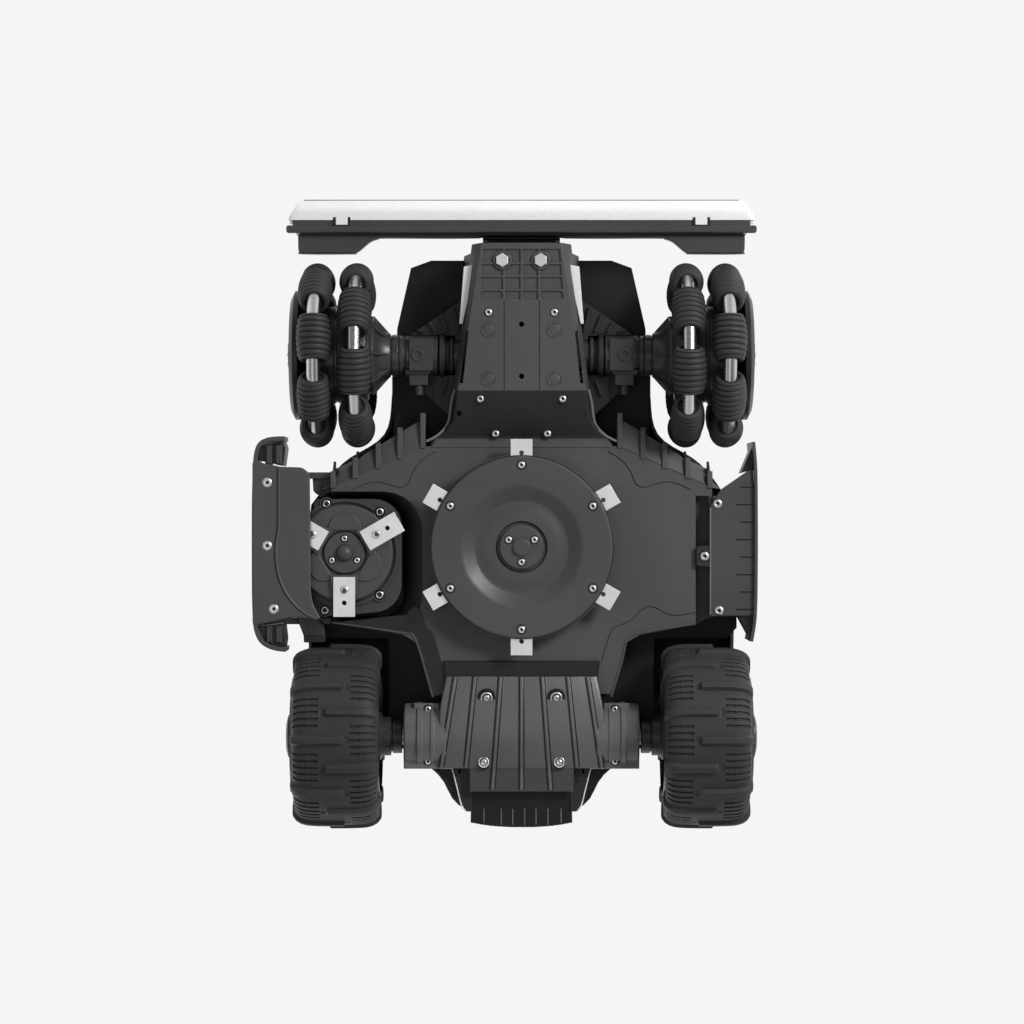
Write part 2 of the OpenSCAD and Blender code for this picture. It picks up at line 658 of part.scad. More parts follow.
module rear_rim(side) color("#303030") placed() on_side(side) difference() {
    on_axle(rear_y) rotate_extrude() polygon([
        [0, 111.4], [16, 111.4], [16, 119.5], [14.5, 120], [14.5, 121], [18, 121.5], [18, 129], [22, 131],
        [22, 172], [rim_r - 10, 168], [rim_r - 4, 162], [rim_r - 4, tyre_in + 1],
        [rim_r - 0.05, tyre_in + 3], [rim_r - 0.05, tyre_out - 3], [rim_r - 3, tyre_out + 1],
        [rim_r - 7, tyre_out - 4], [rim_r - 10, 186],
        [26, 192], [22, 206], [20, 217], [14, 218.8], [0, 218.8]
    ]);
    for (a = [0 : 360 / spokes : 359]) on_axle(rear_y) rotate([0, 0, a]) {
        translate([37, 0, 150]) cylinder(h = 60, r = 9.5);
        translate([0, 0, 121.6]) rotate([0, 0, 25]) translate([17.5, -2.5, 0]) cube([4, 5, 5]);
    }
}

module rear_rim_left() rear_rim("left");
module rear_rim_right() rear_rim("right");

module rear_gearmotors() color("#8f8f8f") placed() both_sides() {
    on_axle(rear_y) translate([0, 0, 12]) cylinder(h = 92, r = cover_r - wall - 1);
    on_axle(rear_y) translate([0, 0, 100]) cylinder(h = 9, r = cover_r - wall);
    on_axle(rear_y) translate([0, 0, 100]) cylinder(h = 11, r = 8);
}

// --- Cutting ---

blade_t = 1;
screw_circle = 75.8;
blade_start = 63;
blade_hole_r = 2.2;
blade_hole_x = screw_circle - blade_start;

module cutter_carriage() color("#6a6a6a") placed() translate(disc_centre) {
    difference() {
        translate([0, 0, disc_z + 14]) cylinder(h = 96, r = column_r);
        translate([0, 0, disc_z + 13]) cylinder(h = 40, r = 15);
    }
    for (a = [45, 135]) rotate([0, 0, a]) translate([-52, -6, disc_z + 96]) cube([104, 12, 10]);
}

module cutting_disc() color(GREY) placed() translate(disc_centre) difference() {
    union() {
        translate([0, 0, disc_z]) rotate_extrude() polygon([
            [0, -0.5], [7, -0.5], [8.2, 0.5], [8.2, 2], [19.4, 2], [20.4, 3], [20.4, 7.5], [22.6, 7.5],
            [24, 5.2], [32, 5.6], [42, 7.5], [44, 7], [58, 0], [82.5, 0], [disc_r, 1.5], [disc_r, 2.6],
            [83, 3.2], [60, 3.2], [60, 5.4], [86, 5.4], [86, 7.6], [58, 8.6], [44, 11.4],
            [14, 11.4], [14, 30], [0, 30]
        ]);
        for (a = [30 : 60 : 330]) rotate([0, 0, a]) translate([screw_circle, 0, disc_z - 0.9])
            cylinder(h = 7, r = blade_hole_r - 0.1);
    }
}

module razor_blade() difference() {
    translate([0, -blade_w / 2, 0]) cube([blade_len, blade_w, blade_t]);
    for (x = [blade_hole_x, blade_len - blade_hole_x])
        translate([x, 0, -1]) cylinder(h = blade_t + 2, r = blade_hole_r);
}

module disc_blades() color(STEEL) placed() translate(disc_centre) for (i = [0 : disc_blade_count - 1])
    rotate([0, 0, 90 + 360 / disc_blade_count * i]) translate([blade_start, 0, disc_z + 3.8]) razor_blade();

edge_blade_start = 22;
edge_blade_z = 44.4;

module edge_disc() color("#4b4b4b") placed() translate(edge_centre) {
    translate([0, 0, edge_blade_z]) rotate_extrude() polygon(concat(
        [[0, -3]], arc([0, 5], 8, -75, 0, 5),
        [[8, 4], [18.4, 4], [19.4, 5], [19.4, 8], [20.8, 8], [21, 4.6],
        [30, 4.4], [43.3, 4.4], [edge_disc_r, 5.4], [edge_disc_r, 9], [43, 10], [12, 10], [12, 20], [0, 20]]
    ));
    for (a = [90, 210, 330]) rotate([0, 0, a]) {
        translate([edge_blade_start + blade_hole_x, 0, edge_blade_z - 1.6])
            cylinder(h = 7, r = blade_hole_r - 0.1);
        slab([[20, -13], [38, -11], [40, 0], [38, 11], [20, 13]], edge_blade_z + 1.2, edge_blade_z + 5.2);
    }
}

module edge_blades() color(STEEL) placed() translate(edge_centre) for (i = [0 : edge_blade_count - 1])
    rotate([0, 0, 90 + 360 / edge_blade_count * i])
        translate([edge_blade_start, 0, edge_blade_z]) razor_blade();

// --- Upper shell and what is inside ---

SHELL_HALF = [
    [40, -244], [85, -240], [104, -232], [118, -174], [124, -120], [126, -72], [174, -46], [200, -12],
    [205, 30], [205, 110], [204, 160], [190, 188], [150, 200], [122, 216], [76, 248], [50, 288]
];
shell_levels = 7;
stop_pos = [0, 120];
turret_pos = [0, -150];

// The shell's outline shrinks towards the crown along a rounded shoulder.
function shoulder(a) = [pow(cos(a), 0.62), pow(sin(a), 0.75)];

function shell_ring(a, t) = let (
    outline = inset(mirrored(SHELL_HALF), t),
    s = shoulder(a),
    h = crown_z - rim_z
) [for (p = outline) [
    p[0] * s[0], p[1] * s[0], rim_z - 0.05 + (h - t) * s[1] * (1 - 0.16 * pow(p[1] / 288, 2) * s[1])
]];

module shell_dome(t, base) {
    n = 2 * len(SHELL_HALF);
    rings = [for (k = [0 : shell_levels]) shell_ring(k * 84 / shell_levels, t)];
    top = (shell_levels + 1) * n;
    points = concat(
        [for (p = rings[0]) [p[0], p[1], base]],
        [for (k = [1 : shell_levels]) each rings[k]],
        [[0, 0, rim_z - 0.05 + (crown_z - rim_z - t)]],
        [[0, 0, base]]
    );
    polyhedron(points, concat(
        [for (k = [0 : shell_levels - 1], i = [0 : n - 1], h = [0, 1]) let (
            a = k * n + i, b = k * n + (i + 1) % n
        ) h == 0 ? [a, a + n, b] : [b, a + n, b + n]],
        [for (i = [0 : n - 1])
            [shell_levels * n + i, shell_levels * n + n, shell_levels * n + (i + 1) % n]],
        [for (i = [0 : n - 1]) [i, (i + 1) % n, top + 1]]
    ));
}

module upper_shell() color("#3a3a3a") placed() difference() {
    union() {
        difference() {
            shell_dome(0, rim_z);
            shell_dome(wall, rim_z - 1);
        }
        translate([stop_pos[0], stop_pos[1], crown_z - 16]) cylinder(h = 17, r = button_r + 9);
        translate([turret_pos[0], turret_pos[1], 0]) rotate_extrude() polygon([
            [0, crown_z - 22], [38, crown_z - 22], [38, crown_z + 2], [35, crown_z + 6], [34, crown_z + 8],
            [34, turret_z - 15], [36, turret_z - 13], [36, turret_z - 5], [30, turret_z], [0, turret_z]
        ]);
    }
    translate([stop_pos[0], stop_pos[1], crown_z - 12]) cylinder(h = 30, r = button_r + 0.35);
}

module stop_button() color("#c22020") placed() translate([stop_pos[0], stop_pos[1], crown_z - 6.5])
    rotate_extrude() polygon([
        [0, 0], [button_r, 0], [button_r, 12], [button_r - 2, 14.4], [button_r - 6, 15.6], [0, 16]
    ]);

module battery_pack() color("#2b4f7a") placed() {
    slab(mirrored([[74, 96], [76, 98], [76, 168], [74, 170]]), tub_z + wall, tub_z + 50);
    translate([-60, 92, tub_z + 14]) cube([30, 6, 20]);
}

module control_board() color("#1f5a3a") placed() {
    for (x = [-58, 58]) for (y = [-210, -110]) post([x, y], 4, tub_z + wall, tub_z + 20);
    slab(mirrored([[66, -218], [66, -102]]), tub_z + 20, tub_z + 21.6);
    for (y = [-196, -160, -128]) translate([-46, y, tub_z + 21]) cube([34, 20, 7]);
    for (y = [-200, -170, -140]) translate([18, y, tub_z + 21]) cube([24, 16, 12]);
}

// --- Fasteners ---

// A button-head screw seen from below, with a hexagon socket; z is its seat.
module screw_up(p, r, z, head, shank) translate([p[0], p[1], z]) difference() {
    union() {
        translate([0, 0, -head]) cylinder(h = head, r = r);
        cylinder(h = shank, r = r * 0.5);
    }
    translate([0, 0, -head - 1]) cylinder(h = head * 0.6 + 1, r = r * 0.45, $fn = 6);
}

module hex_bolt(p, z) translate([p[0], p[1], z]) {
    translate([0, 0, -5]) cylinder(h = 5, r = 6.4, $fn = 6);
    cylinder(h = 26, r = 3);
}

module chassis_screws() color(STEEL) placed() {
    for (p = KEEL_BOLTS) both_sides() hex_bolt(p, keel_z + 2);
    for (p = KEEL_SCREWS) both_sides() screw_up(p, 3.7, p[2], 2.2, 3);
    for (p = COVER_BOLTS) both_sides() screw_up(p, 4.2, cover_z + 3, 3, 6);
    for (p = TUBE_SCREWS) both_sides() screw_up(p, 3.1, p[2], 3, 3);
    for (p = HOUSING_BOLTS) screw_up(p, 4.2, housing_z + 4, 4, 10);
    for (p = SKIRT_SCREWS) screw_up(p, 4.6, skirt_z + 1.6, 3, 2);
    for (p = GUARD_SCREWS) screw_up(p, 4.5, guard_z + 1.5, 1.5, 1.8);
}

chassis_deck();
keel_cover();
upper_shell();
rear_axle_cover();
tail_grille();
side_skirt();
battery_pack();
control_board();
rear_gearmotors();
chassis_screws();
edge_housing();
edge_guard();
stop_button();
bumper_cover();
bumper_tray();
front_axle_beam();
front_gearmotors();
omni_hub_left();
omni_hub_right();
rear_rim_left();
rear_rim_right();
rear_tyre_left();
rear_tyre_right();
cutter_carriage();
cutting_disc();
disc_blades();
edge_disc();
edge_blades();
for (side = SIDES, row = ROWS, i = [1 : rollers_per_row])
    roller(side, row, i);
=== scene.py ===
import math

import bmesh
import bpy
import numpy as np
from mathutils import Matrix, Vector
from mathutils.bvhtree import BVHTree


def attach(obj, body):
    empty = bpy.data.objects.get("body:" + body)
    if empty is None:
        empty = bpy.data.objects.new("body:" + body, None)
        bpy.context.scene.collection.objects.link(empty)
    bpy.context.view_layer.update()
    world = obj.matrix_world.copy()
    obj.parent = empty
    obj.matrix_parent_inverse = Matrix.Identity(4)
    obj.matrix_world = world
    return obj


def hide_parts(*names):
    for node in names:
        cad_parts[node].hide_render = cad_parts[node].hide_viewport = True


# Looks for the four-wheel-drive robotic mower, seen from below. Shapes are in millimetres about the
# machine's middle plane, and to_frame takes them to the frame, which is in metres.
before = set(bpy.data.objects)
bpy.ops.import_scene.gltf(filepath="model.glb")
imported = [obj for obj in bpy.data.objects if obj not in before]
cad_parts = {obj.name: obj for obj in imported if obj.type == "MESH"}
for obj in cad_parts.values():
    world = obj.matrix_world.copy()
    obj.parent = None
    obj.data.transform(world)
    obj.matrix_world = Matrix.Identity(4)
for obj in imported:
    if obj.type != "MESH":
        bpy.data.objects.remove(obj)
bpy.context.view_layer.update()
MM = 0.001
CENTRE_X = 14.5          # the machine's middle plane, in mm from the frame's origin
AXLE_Z = 86.0
FRONT_Y = -147.0         # of the omni wheels' axle
REAR_Y = 208.0           # of the rear wheels' axle
DISC = (0.0, 31.4)       # the main disc's axis
EDGE = (-163.2, 36.8)    # the edge disc's axis
SIDES = {"left": Matrix.Identity(4), "right": Matrix.Scale(-1, 4, (1, 0, 0))}


# ---------------------------------------------------------------- materials

def grey(level, tint=(1, 1, 1)):
    """Linear reflectance of an 8-bit grey, tinted."""
    v = level / 255
    v = v / 12.92 if v <= 0.04045 else ((v + 0.055) / 1.055) ** 2.4
    return (v * tint[0], v * tint[1], v * tint[2], 1.0)


class Nodes:
    """Adds nodes to a tree."""

    def __init__(self, tree):
        self.tree = tree

    def feed(self, node, inputs):
        """Links other nodes' outputs to a node's inputs, or sets the inputs' own values."""
        for key, value in inputs.items():
            if isinstance(value, bpy.types.NodeSocket):
                self.tree.links.new(value, node.inputs[key])
            else:
                node.inputs[key].default_value = value
        return node

    def node(self, kind, inputs=None, **settings):
        node = self.tree.nodes.new("ShaderNode" + kind)
        for name, value in settings.items():
            setattr(node, name, value)
        return self.feed(node, inputs or {})


class Shader(Nodes):
    """Builds one material's node tree step by step."""

    def __init__(self, name):
        self.mat = bpy.data.materials.new(name)
        self.mat.use_nodes = True
        super().__init__(self.mat.node_tree)
        self.coord = self.node("TexCoord").outputs["Object"]
        self.bsdf = self.tree.nodes["Principled BSDF"]

    def math(self, op, a, b=0.0, c=0.0):
        return self.node("Math", {0: a, 1: b, 2: c}, operation=op).outputs[0]

    def product(self, *factors):
        total = factors[0]
        for factor in factors[1:]:
            total = self.math("MULTIPLY", total, factor)
        return total

    def stretched(self, scale):
        return self.node("Mapping", {"Scale": scale, "Vector": self.coord}).outputs[0]

    def noise(self, scale, detail=2.0, rough=0.5, vector=None):
        inputs = {"Scale": scale, "Detail": detail, "Roughness": rough, "Vector": vector or self.coord}
        return self.node("TexNoise", inputs).outputs["Fac"]

    def voronoi(self, scale, vector=None):
        return self.node("TexVoronoi", {"Scale": scale, "Vector": vector or self.coord}).outputs["Distance"]

    def spread(self, value, lo, hi, to_lo, to_hi):
        inputs = {"Value": value, "From Min": lo, "From Max": hi, "To Min": to_lo, "To Max": to_hi}
        return self.node("MapRange", inputs).outputs[0]

    def mix(self, fac, a, b):
        return self.node("Mix", {0: fac, 6: a, 7: b}, data_type="RGBA").outputs[2]

    def scale_colour(self, colour, factor):
        vector = colour if isinstance(colour, bpy.types.NodeSocket) else colour[:3]
        return self.node("VectorMath", {0: vector, "Scale": factor}, operation="SCALE").outputs[0]

    def bump(self, height, strength, distance, **normal):
        inputs = {"Height": height, "Strength": strength, "Distance": distance, **normal}
        return self.node("Bump", inputs).outputs["Normal"]

    def soft_edges(self, radius):
        """A rounded normal, and a mask that is 1 along edges."""
        bevel = self.node("Bevel", {"Radius": radius}, samples=4).outputs[0]
        flat = self.node("NewGeometry").outputs["Normal"]
        dot = self.node("VectorMath", {0: bevel, 1: flat}, operation="DOT_PRODUCT").outputs["Value"]
        return bevel, self.spread(dot, 0.995, 0.86, 0.0, 1.0)

    def shade_in_gaps(self, distance, darkest):
        gap = self.node("AmbientOcclusion", {"Distance": distance}, samples=4).outputs["AO"]
        return self.spread(gap, 0.15, 0.9, darkest, 1.0)

    def edge_wear_and_highlight(self, rim, edge):
        """A factor that rises to edge where rim is 1: paler edges that are partly wear and partly painted
        highlight.
        """
        return self.math("MULTIPLY_ADD", rim, edge - 1, 1.0)

    def finish(self, inputs):
        self.feed(self.bsdf, inputs)
        return self.mat


def moulded(name, colour, rough=0.45, grain=0.25, edge=1.5, darkest=0.5, mottle=0.12, coat=0.0,
            shade_above=None, specular=0.35):
    """Moulded plastic: a fine spark-eroded grain, slight mottling, paler edges that are partly wear and
    partly painted highlight, and painted shade in the gaps.
    The height band, given as (height where it starts to darken, height where it ends, factor there), is
    painted shade over the deep recesses above it."""
    s = Shader(name)
    normal, rim = s.soft_edges(0.0007)
    rim = s.product(rim, s.spread(s.noise(160, 3), 0.35, 0.6, 0.35, 1.0))
    shade = s.product(s.spread(s.noise(11, 3), 0.3, 0.7, 1 - mottle, 1 + mottle),
                      s.spread(s.noise(490, 2), 0.3, 0.7, 0.95, 1.05),
                      s.shade_in_gaps(0.016, darkest), s.edge_wear_and_highlight(rim, edge))
    # painted shade: the colour darkens above a height, over the deep recesses there
    if shade_above:
        low, high, factor = shade_above
        height = s.node("SeparateXYZ", {"Vector": s.coord}).outputs[2]
        shade = s.product(shade, s.spread(height, low, high, 1.0, factor))
    return s.finish({
        "Base Color": s.scale_colour(colour, shade),
        "Roughness": s.math("MULTIPLY_ADD", s.noise(70, 4), 0.14, rough - 0.07),
        "Specular IOR Level": specular, "Coat Weight": coat, "Coat Roughness": 0.12,
        "Normal": s.bump(s.noise(1400, 3, 0.6), grain, 0.00025, Normal=normal)})


def rubber(name, colour, rough, edge):
    """Moulded rubber: finely pitted, paler edges that are partly scuffed and partly painted highlight, and
    painted shade in the low places.
    """
    s = Shader(name)
    normal, rim = s.soft_edges(0.0008)
    rim = s.product(rim, s.spread(s.noise(210, 3), 0.3, 0.62, 0.3, 1.0))
    shade = s.product(s.shade_in_gaps(0.008, 0.4), s.edge_wear_and_highlight(rim, edge),
                      s.spread(s.noise(700, 2), 0.3, 0.7, 0.92, 1.08))
    patch = s.spread(s.noise(24, 5, 0.6), 0.4, 0.68, 0.0, 1.0)
    dusty = (colour[0] * 1.5, colour[1] * 1.46, colour[2] * 1.4, 1.0)
    base = s.mix(s.product(patch, 0.15), colour, dusty)
    pits = s.math("MULTIPLY_ADD", s.voronoi(1500), 0.5, s.noise(900, 3, 0.65))
    return s.finish({
        "Base Color": s.scale_colour(base, shade),
        "Roughness": s.math("MULTIPLY_ADD", s.noise(90, 4), 0.2, rough - 0.1),
        "Specular IOR Level": 0.2, "Normal": s.bump(pits, 0.3, 0.0003, Normal=normal)})


def metal(name, colour, rough, blast, brushed=None, darkest=0.55, gap=0.004):
    """Bare metal: blasted, or brushed along the stretch, with faint stains, brighter edges that are partly
    wear and partly painted highlight, and painted shade in the gaps.
    """
    s = Shader(name)
    lines = s.noise(420, 3, 0.6, s.stretched(brushed)) if brushed else s.noise(1900, 3, 0.6)
    normal, rim = s.soft_edges(0.0003)
    shade = s.product(s.spread(s.noise(38, 5, 0.6), 0.35, 0.7, 1.04, 0.88),
                      s.spread(lines, 0.25, 0.75, 0.93, 1.05), s.edge_wear_and_highlight(rim, 1.15),
                      s.shade_in_gaps(gap, darkest))
    return s.finish({
        "Base Color": s.scale_colour(colour, shade), "Metallic": 1.0,
        "Roughness": s.math("MULTIPLY_ADD", lines, 0.22, rough - 0.11),
        "Normal": s.bump(lines, blast, 0.0002, Normal=normal)})


def board(name):
    """Solder mask over a pattern of copper tracks."""
    s = Shader(name)
    tracks = s.spread(s.voronoi(260, s.stretched((1, 1, 0.05))), 0.28, 0.34, 0.0, 1.0)
    base = s.mix(tracks, (0.012, 0.1, 0.045, 1), (0.02, 0.19, 0.08, 1))
    return s.finish({
        "Base Color": s.scale_colour(base, s.spread(s.noise(30, 3), 0.3, 0.7, 0.85, 1.1)),
        "Roughness": s.spread(tracks, 0, 1, 0.36, 0.22), "Normal": s.bump(tracks, 0.2, 0.0001)})


def tinted_window(name):
    """Dark infrared window: glossy, almost black, with a painted red-violet sheen that grows towards grazing
    angles.
    """
    s = Shader(name)
    # painted sheen: the colour turns paler and redder as the surface turns away from the view
    depth = s.node("LayerWeight", {"Blend": 0.4}).outputs["Facing"]
    base = s.mix(s.product(depth, 0.8), (0.006, 0.005, 0.008, 1), (0.02, 0.011, 0.02, 1))
    return s.finish({
        "Base Color": s.scale_colour(base, s.spread(s.noise(60, 2), 0.3, 0.7, 0.9, 1.1)),
        "Roughness": s.math("MULTIPLY_ADD", s.noise(40, 2), 0.05, 0.04), "Coat Weight": 0.6})


MATERIALS = {
    # the deck darkens above 94 mm: painted shade over the deep recesses
    "deck": moulded("deck_plastic", grey(72, (1, 1, 1.01)), 0.55, shade_above=(0.094, 0.108, 0.06),
                    specular=0.3),
    "disc": moulded("disc_plastic", grey(66), 0.42, grain=0.2),
    "keel": moulded("keel_plastic", grey(68), 0.4, edge=1.9),
    "cover": moulded("cover_plastic", grey(90), 0.33, edge=1.7),
    "tail": moulded("tail_plastic", grey(14), 0.5, specular=0.3),
    "skirt": moulded("skirt_plastic", grey(61), 0.42, edge=1.8),
    "guard": moulded("guard_plastic", grey(65), 0.42, edge=1.9),
    "housing": moulded("housing_plastic", grey(57), 0.44),
    "tray": moulded("tray_plastic", grey(58), 0.4),
    "beam": moulded("beam_plastic", grey(34), 0.5, darkest=0.3),
    "gear": moulded("gear_plastic", grey(50), 0.38, edge=2.0),
    "hub": moulded("hub_plastic", grey(50), 0.3, edge=1.8),
    "rim": moulded("rim_plastic", grey(48), 0.36, edge=1.7),
    "shell": moulded("shell_plastic", grey(50), 0.4, grain=0.3, darkest=0.7),
    "panel": moulded("panel_plastic", grey(104, (0.98, 1, 1.03)), 0.44, grain=0.12, darkest=0.75, coat=0.08),
    "black": moulded("black_plastic", grey(14), 0.42, edge=1.4, specular=0.4),
    "white": moulded("white_plastic", (0.72, 0.72, 0.717, 1), 0.22, grain=0.05, mottle=0.015, edge=1.02,
                     darkest=0.8, coat=0.5),
    "lens": tinted_window("window_plastic"),
    "red": moulded("button_red", (0.46, 0.014, 0.01, 1), 0.3, grain=0.08, mottle=0.05, edge=1.25, coat=0.6),
    "roller": rubber("roller_rubber", grey(50), 0.52, 1.7),
    "tyre": rubber("tyre_rubber", grey(50), 0.58, 1.8),
    "blade": metal("blade_steel", (0.82, 0.82, 0.81, 1), 0.45, 0.12),
    "screw": metal("screw_steel", (0.76, 0.76, 0.75, 1), 0.32, 0.05, darkest=0.12, gap=0.006),
    "sleeve": metal("sleeve_steel", (0.5, 0.5, 0.5, 1), 0.26, 0.05, brushed=(1, 1, 8)),
    "motor": metal("motor_metal", (0.6, 0.6, 0.61, 1), 0.36, 0.1, brushed=(0.1, 6, 6)),
    "battery": moulded("battery_case", (0.03, 0.07, 0.16, 1), 0.34, grain=0.1),
    "board": board("circuit_board"),
}

# a node that isn't here is a roller
NODE_MATERIALS = {
    "chassis_deck": "deck", "keel_cover": "keel", "upper_shell": "shell", "rear_axle_cover": "cover",
    "tail_grille": "tail", "side_skirt": "skirt", "battery_pack": "battery", "control_board": "board",
    "rear_gearmotors": "motor", "chassis_screws": "screw", "edge_housing": "housing",
    "edge_guard": "guard", "stop_button": "red", "bumper_cover": "white", "bumper_tray": "tray",
    "front_axle_beam": "beam", "front_gearmotors": "gear", "omni_hub_left": "hub",
    "omni_hub_right": "hub", "rear_rim_left": "rim", "rear_rim_right": "rim",
    "rear_tyre_left": "tyre", "rear_tyre_right": "tyre", "cutter_carriage": "tail",
    "cutting_disc": "disc", "disc_blades": "blade", "edge_disc": "disc", "edge_blades": "blade",
}


def smooth_normals(mesh, degrees=30.0):
    """Averages the normals of faces that meet at less than the angle, by position, as the mesh's own faces
    don't share corners."""
    limit = math.cos(math.radians(degrees))
    corners = {}
    normals = [p.normal.copy() for p in mesh.polygons]
    keys = [tuple(int(round(c * 2e5)) for c in v.co) for v in mesh.vertices]
    for p in mesh.polygons:
        for v in p.vertices:
            corners.setdefault(keys[v], []).append(p)
    out = []
    for p in mesh.polygons:
        mine = normals[p.index]
        for v in p.vertices:
            total = Vector((0, 0, 0))
            for other in corners[keys[v]]:
                if normals[other.index].dot(mine) > limit:
                    total += normals[other.index] * other.area
            out.append(total.normalized() if total.length > 1e-12 else mine)
    mesh.polygons.foreach_set("use_smooth", [True] * len(mesh.polygons))
    mesh.normals_split_custom_set(out)


for name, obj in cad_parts.items():
    obj.data.materials.clear()
    obj.data.materials.append(MATERIALS[NODE_MATERIALS.get(name, "roller")])
    smooth_normals(obj.data)


# ---------------------------------------------------------------- geometry helpers

def link(obj):
    bpy.context.scene.collection.objects.link(obj)
    return obj


def to_frame(point):
    """Metres in the frame, from millimetres about the middle plane."""
    return ((point[0] + CENTRE_X) * MM, point[1] * MM, point[2] * MM)


def make_mesh(name, verts, faces, materials, angle=32.0, slots=None):
    """An object from points in metres, with its faces turned outwards. Edges past the angle stay sharp."""
    mesh = bpy.data.meshes.new(name)
    mesh.from_pydata([tuple(v) for v in verts], [], faces)
    solid = bmesh.new()
    solid.from_mesh(mesh)
    bmesh.ops.recalc_face_normals(solid, faces=solid.faces)
    solid.to_mesh(mesh)
    solid.free()
    for key in materials:
        mesh.materials.append(MATERIALS[key])
    mesh.polygons.foreach_set("use_smooth", [True] * len(mesh.polygons))
    if slots is not None:
        mesh.polygons.foreach_set("material_index", slots)
    mesh.validate()
    mesh.set_sharp_from_angle(angle=math.radians(angle))
    mesh.update()
    return link(bpy.data.objects.new(name, mesh))


def carve(target, tool):
    """Cuts the solids of a Builder out of an object."""
    cutter = make_mesh("tool", [to_frame(v) for v in tool.verts], tool.faces, ["black"])
    target.modifiers.new("cut", "BOOLEAN").object = cutter
    bpy.context.view_layer.update()
    mesh = bpy.data.meshes.new_from_object(target.evaluated_get(bpy.context.evaluated_depsgraph_get()))
    mesh.set_sharp_from_angle(angle=math.radians(32))
    target.modifiers.clear()
    target.data = mesh
    bpy.data.objects.remove(cutter)


def enter(obj, body, replaces=()):
    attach(obj, body)
    if replaces:
        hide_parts(*replaces)


class Builder:
    """Collects solids, each (points, faces), into one piece."""

    def __init__(self):
        self.verts, self.faces, self.slots = [], [], []

    def add(self, solid, matrix=None, slot=0):
        """Slot is one of the piece's materials, or a list with one for each face."""
        verts, faces = solid
        if matrix is not None:
            verts = [matrix @ Vector(v) for v in verts]
            if matrix.determinant() < 0:
                faces = [f[::-1] for f in faces]
        start = len(self.verts)
        self.verts += [tuple(v) for v in verts]
        self.faces += [[start + i for i in f] for f in faces]
        self.slots += slot if isinstance(slot, list) else [slot] * len(faces)

    def both(self, solid, matrix=Matrix.Identity(4), slot=0):
        """Adds the solid and its mirror image across the middle plane."""
        for flip in SIDES.values():
            self.add(solid, flip @ matrix, slot)

    def piece(self, name, materials, body, slot, replaces=(), angle=32.0, tool=None):
        obj = make_mesh(name, [to_frame(v) for v in self.verts], self.faces, materials, angle, self.slots)
        if tool:
            carve(obj, tool)
        enter(obj, body, replaces)


def at(x, y, z, rx=0.0, ry=0.0, rz=0.0):
    turn = (Matrix.Rotation(math.radians(rz), 4, "Z") @ Matrix.Rotation(math.radians(ry), 4, "Y")
            @ Matrix.Rotation(math.radians(rx), 4, "X"))
    return Matrix.Translation((x, y, z)) @ turn


def on_circle(radius, degrees, centre=(0, 0)):
    a = math.radians(degrees)
    return (centre[0] + radius * math.cos(a), centre[1] + radius * math.sin(a))


def loft(rings, ends="capped"):
    """A solid through rings of points. A ring is a single point or has as many points as the others. Its
    ends are capped, open or joined to each other."""
    verts, faces, rows = [], [], []
    for ring in rings:
        rows.append(range(len(verts), len(verts) + len(ring)))
        verts += [tuple(v) for v in ring]
    if ends == "joined":
        rows.append(rows[0])
    n = max(len(row) for row in rows)
    for low, high in zip(rows, rows[1:]):
        for k in range(n):
            j = (k + 1) % n
            quad = [low[k % len(low)], low[j % len(low)], high[j % len(high)], high[k % len(high)]]
            face = [v for i, v in enumerate(quad) if v not in quad[:i]]
            if len(face) > 2:
                faces.append(face)
    if ends == "capped":
        faces += [list(rows[0])[::-1], list(rows[-1])]
    return verts, faces


def lathe(profile, steps):
    """A solid of revolution about +Z from (radius, height) pairs. A height may be a function of degrees."""
    rings = []
    for r, z in profile:
        ring = []
        for k in range(steps if r > 1e-6 else 1):
            degrees = 360 * k / steps
            ring.append((*on_circle(r, degrees), z(degrees) if callable(z) else z))
        rings.append(ring)
    return loft(rings, "open")


def inset(points, d):
    """The outline moved inwards by d, for points that run counter-clockwise."""
    p = np.array(points, float)
    before = p - np.roll(p, 1, axis=0)
    after = np.roll(p, -1, axis=0) - p
    before /= np.linalg.norm(before, axis=1)[:, None]
    after /= np.linalg.norm(after, axis=1)[:, None]
    left = np.stack([-before[:, 1] - after[:, 1], before[:, 0] + after[:, 0]], axis=1)
    scale = np.maximum(1 + (before * after).sum(axis=1), 0.35)
    return p + d * left / scale[:, None]


def prism(points, z0, z1, low=0.0, high=0.0):
    """An extruded outline whose lower and upper rims are chamfered by low and high."""
    p = np.array(points, float)
    area = (p[:, 0] * np.roll(p[:, 1], -1) - np.roll(p[:, 0], -1) * p[:, 1]).sum()
    if area < 0:
        p = p[::-1]
    rings = [(p, z0), (p, z1)]
    if low:
        rings = [(inset(p, low), z0), (p, z0 + low)] + rings[1:]
    if high:
        rings = rings[:-1] + [(p, z1 - high), (inset(p, high), z1)]
    return loft([[(x, y, z) for x, y in ring] for ring, z in rings])


def box(x0, x1, y0, y1, z0, z1, edge=0.4):
    return prism([(x0, y0), (x1, y0), (x1, y1), (x0, y1)], z0, z1, edge, edge)


def slab(outline, x0, x1):
    """An outline in (y, z), between two values of x."""
    return loft([[(x, y, z) for y, z in outline] for x in (x0, x1)])


def curve(points, steps=6):
    """A smooth open curve through points of any dimension."""
    p = np.array(points, float)
    out = []
    for i in range(len(p) - 1):
        a, b, c, d = p[max(i - 1, 0)], p[i], p[i + 1], p[min(i + 2, len(p) - 1)]
        for k in range(steps):
            t = k / steps
            out.append((2 * b + (c - a) * t + (2 * a - 5 * b + 4 * c - d) * t * t
                        + (3 * b - a - 3 * c + d) * t ** 3) / 2)
    return np.array(out + [p[-1]])


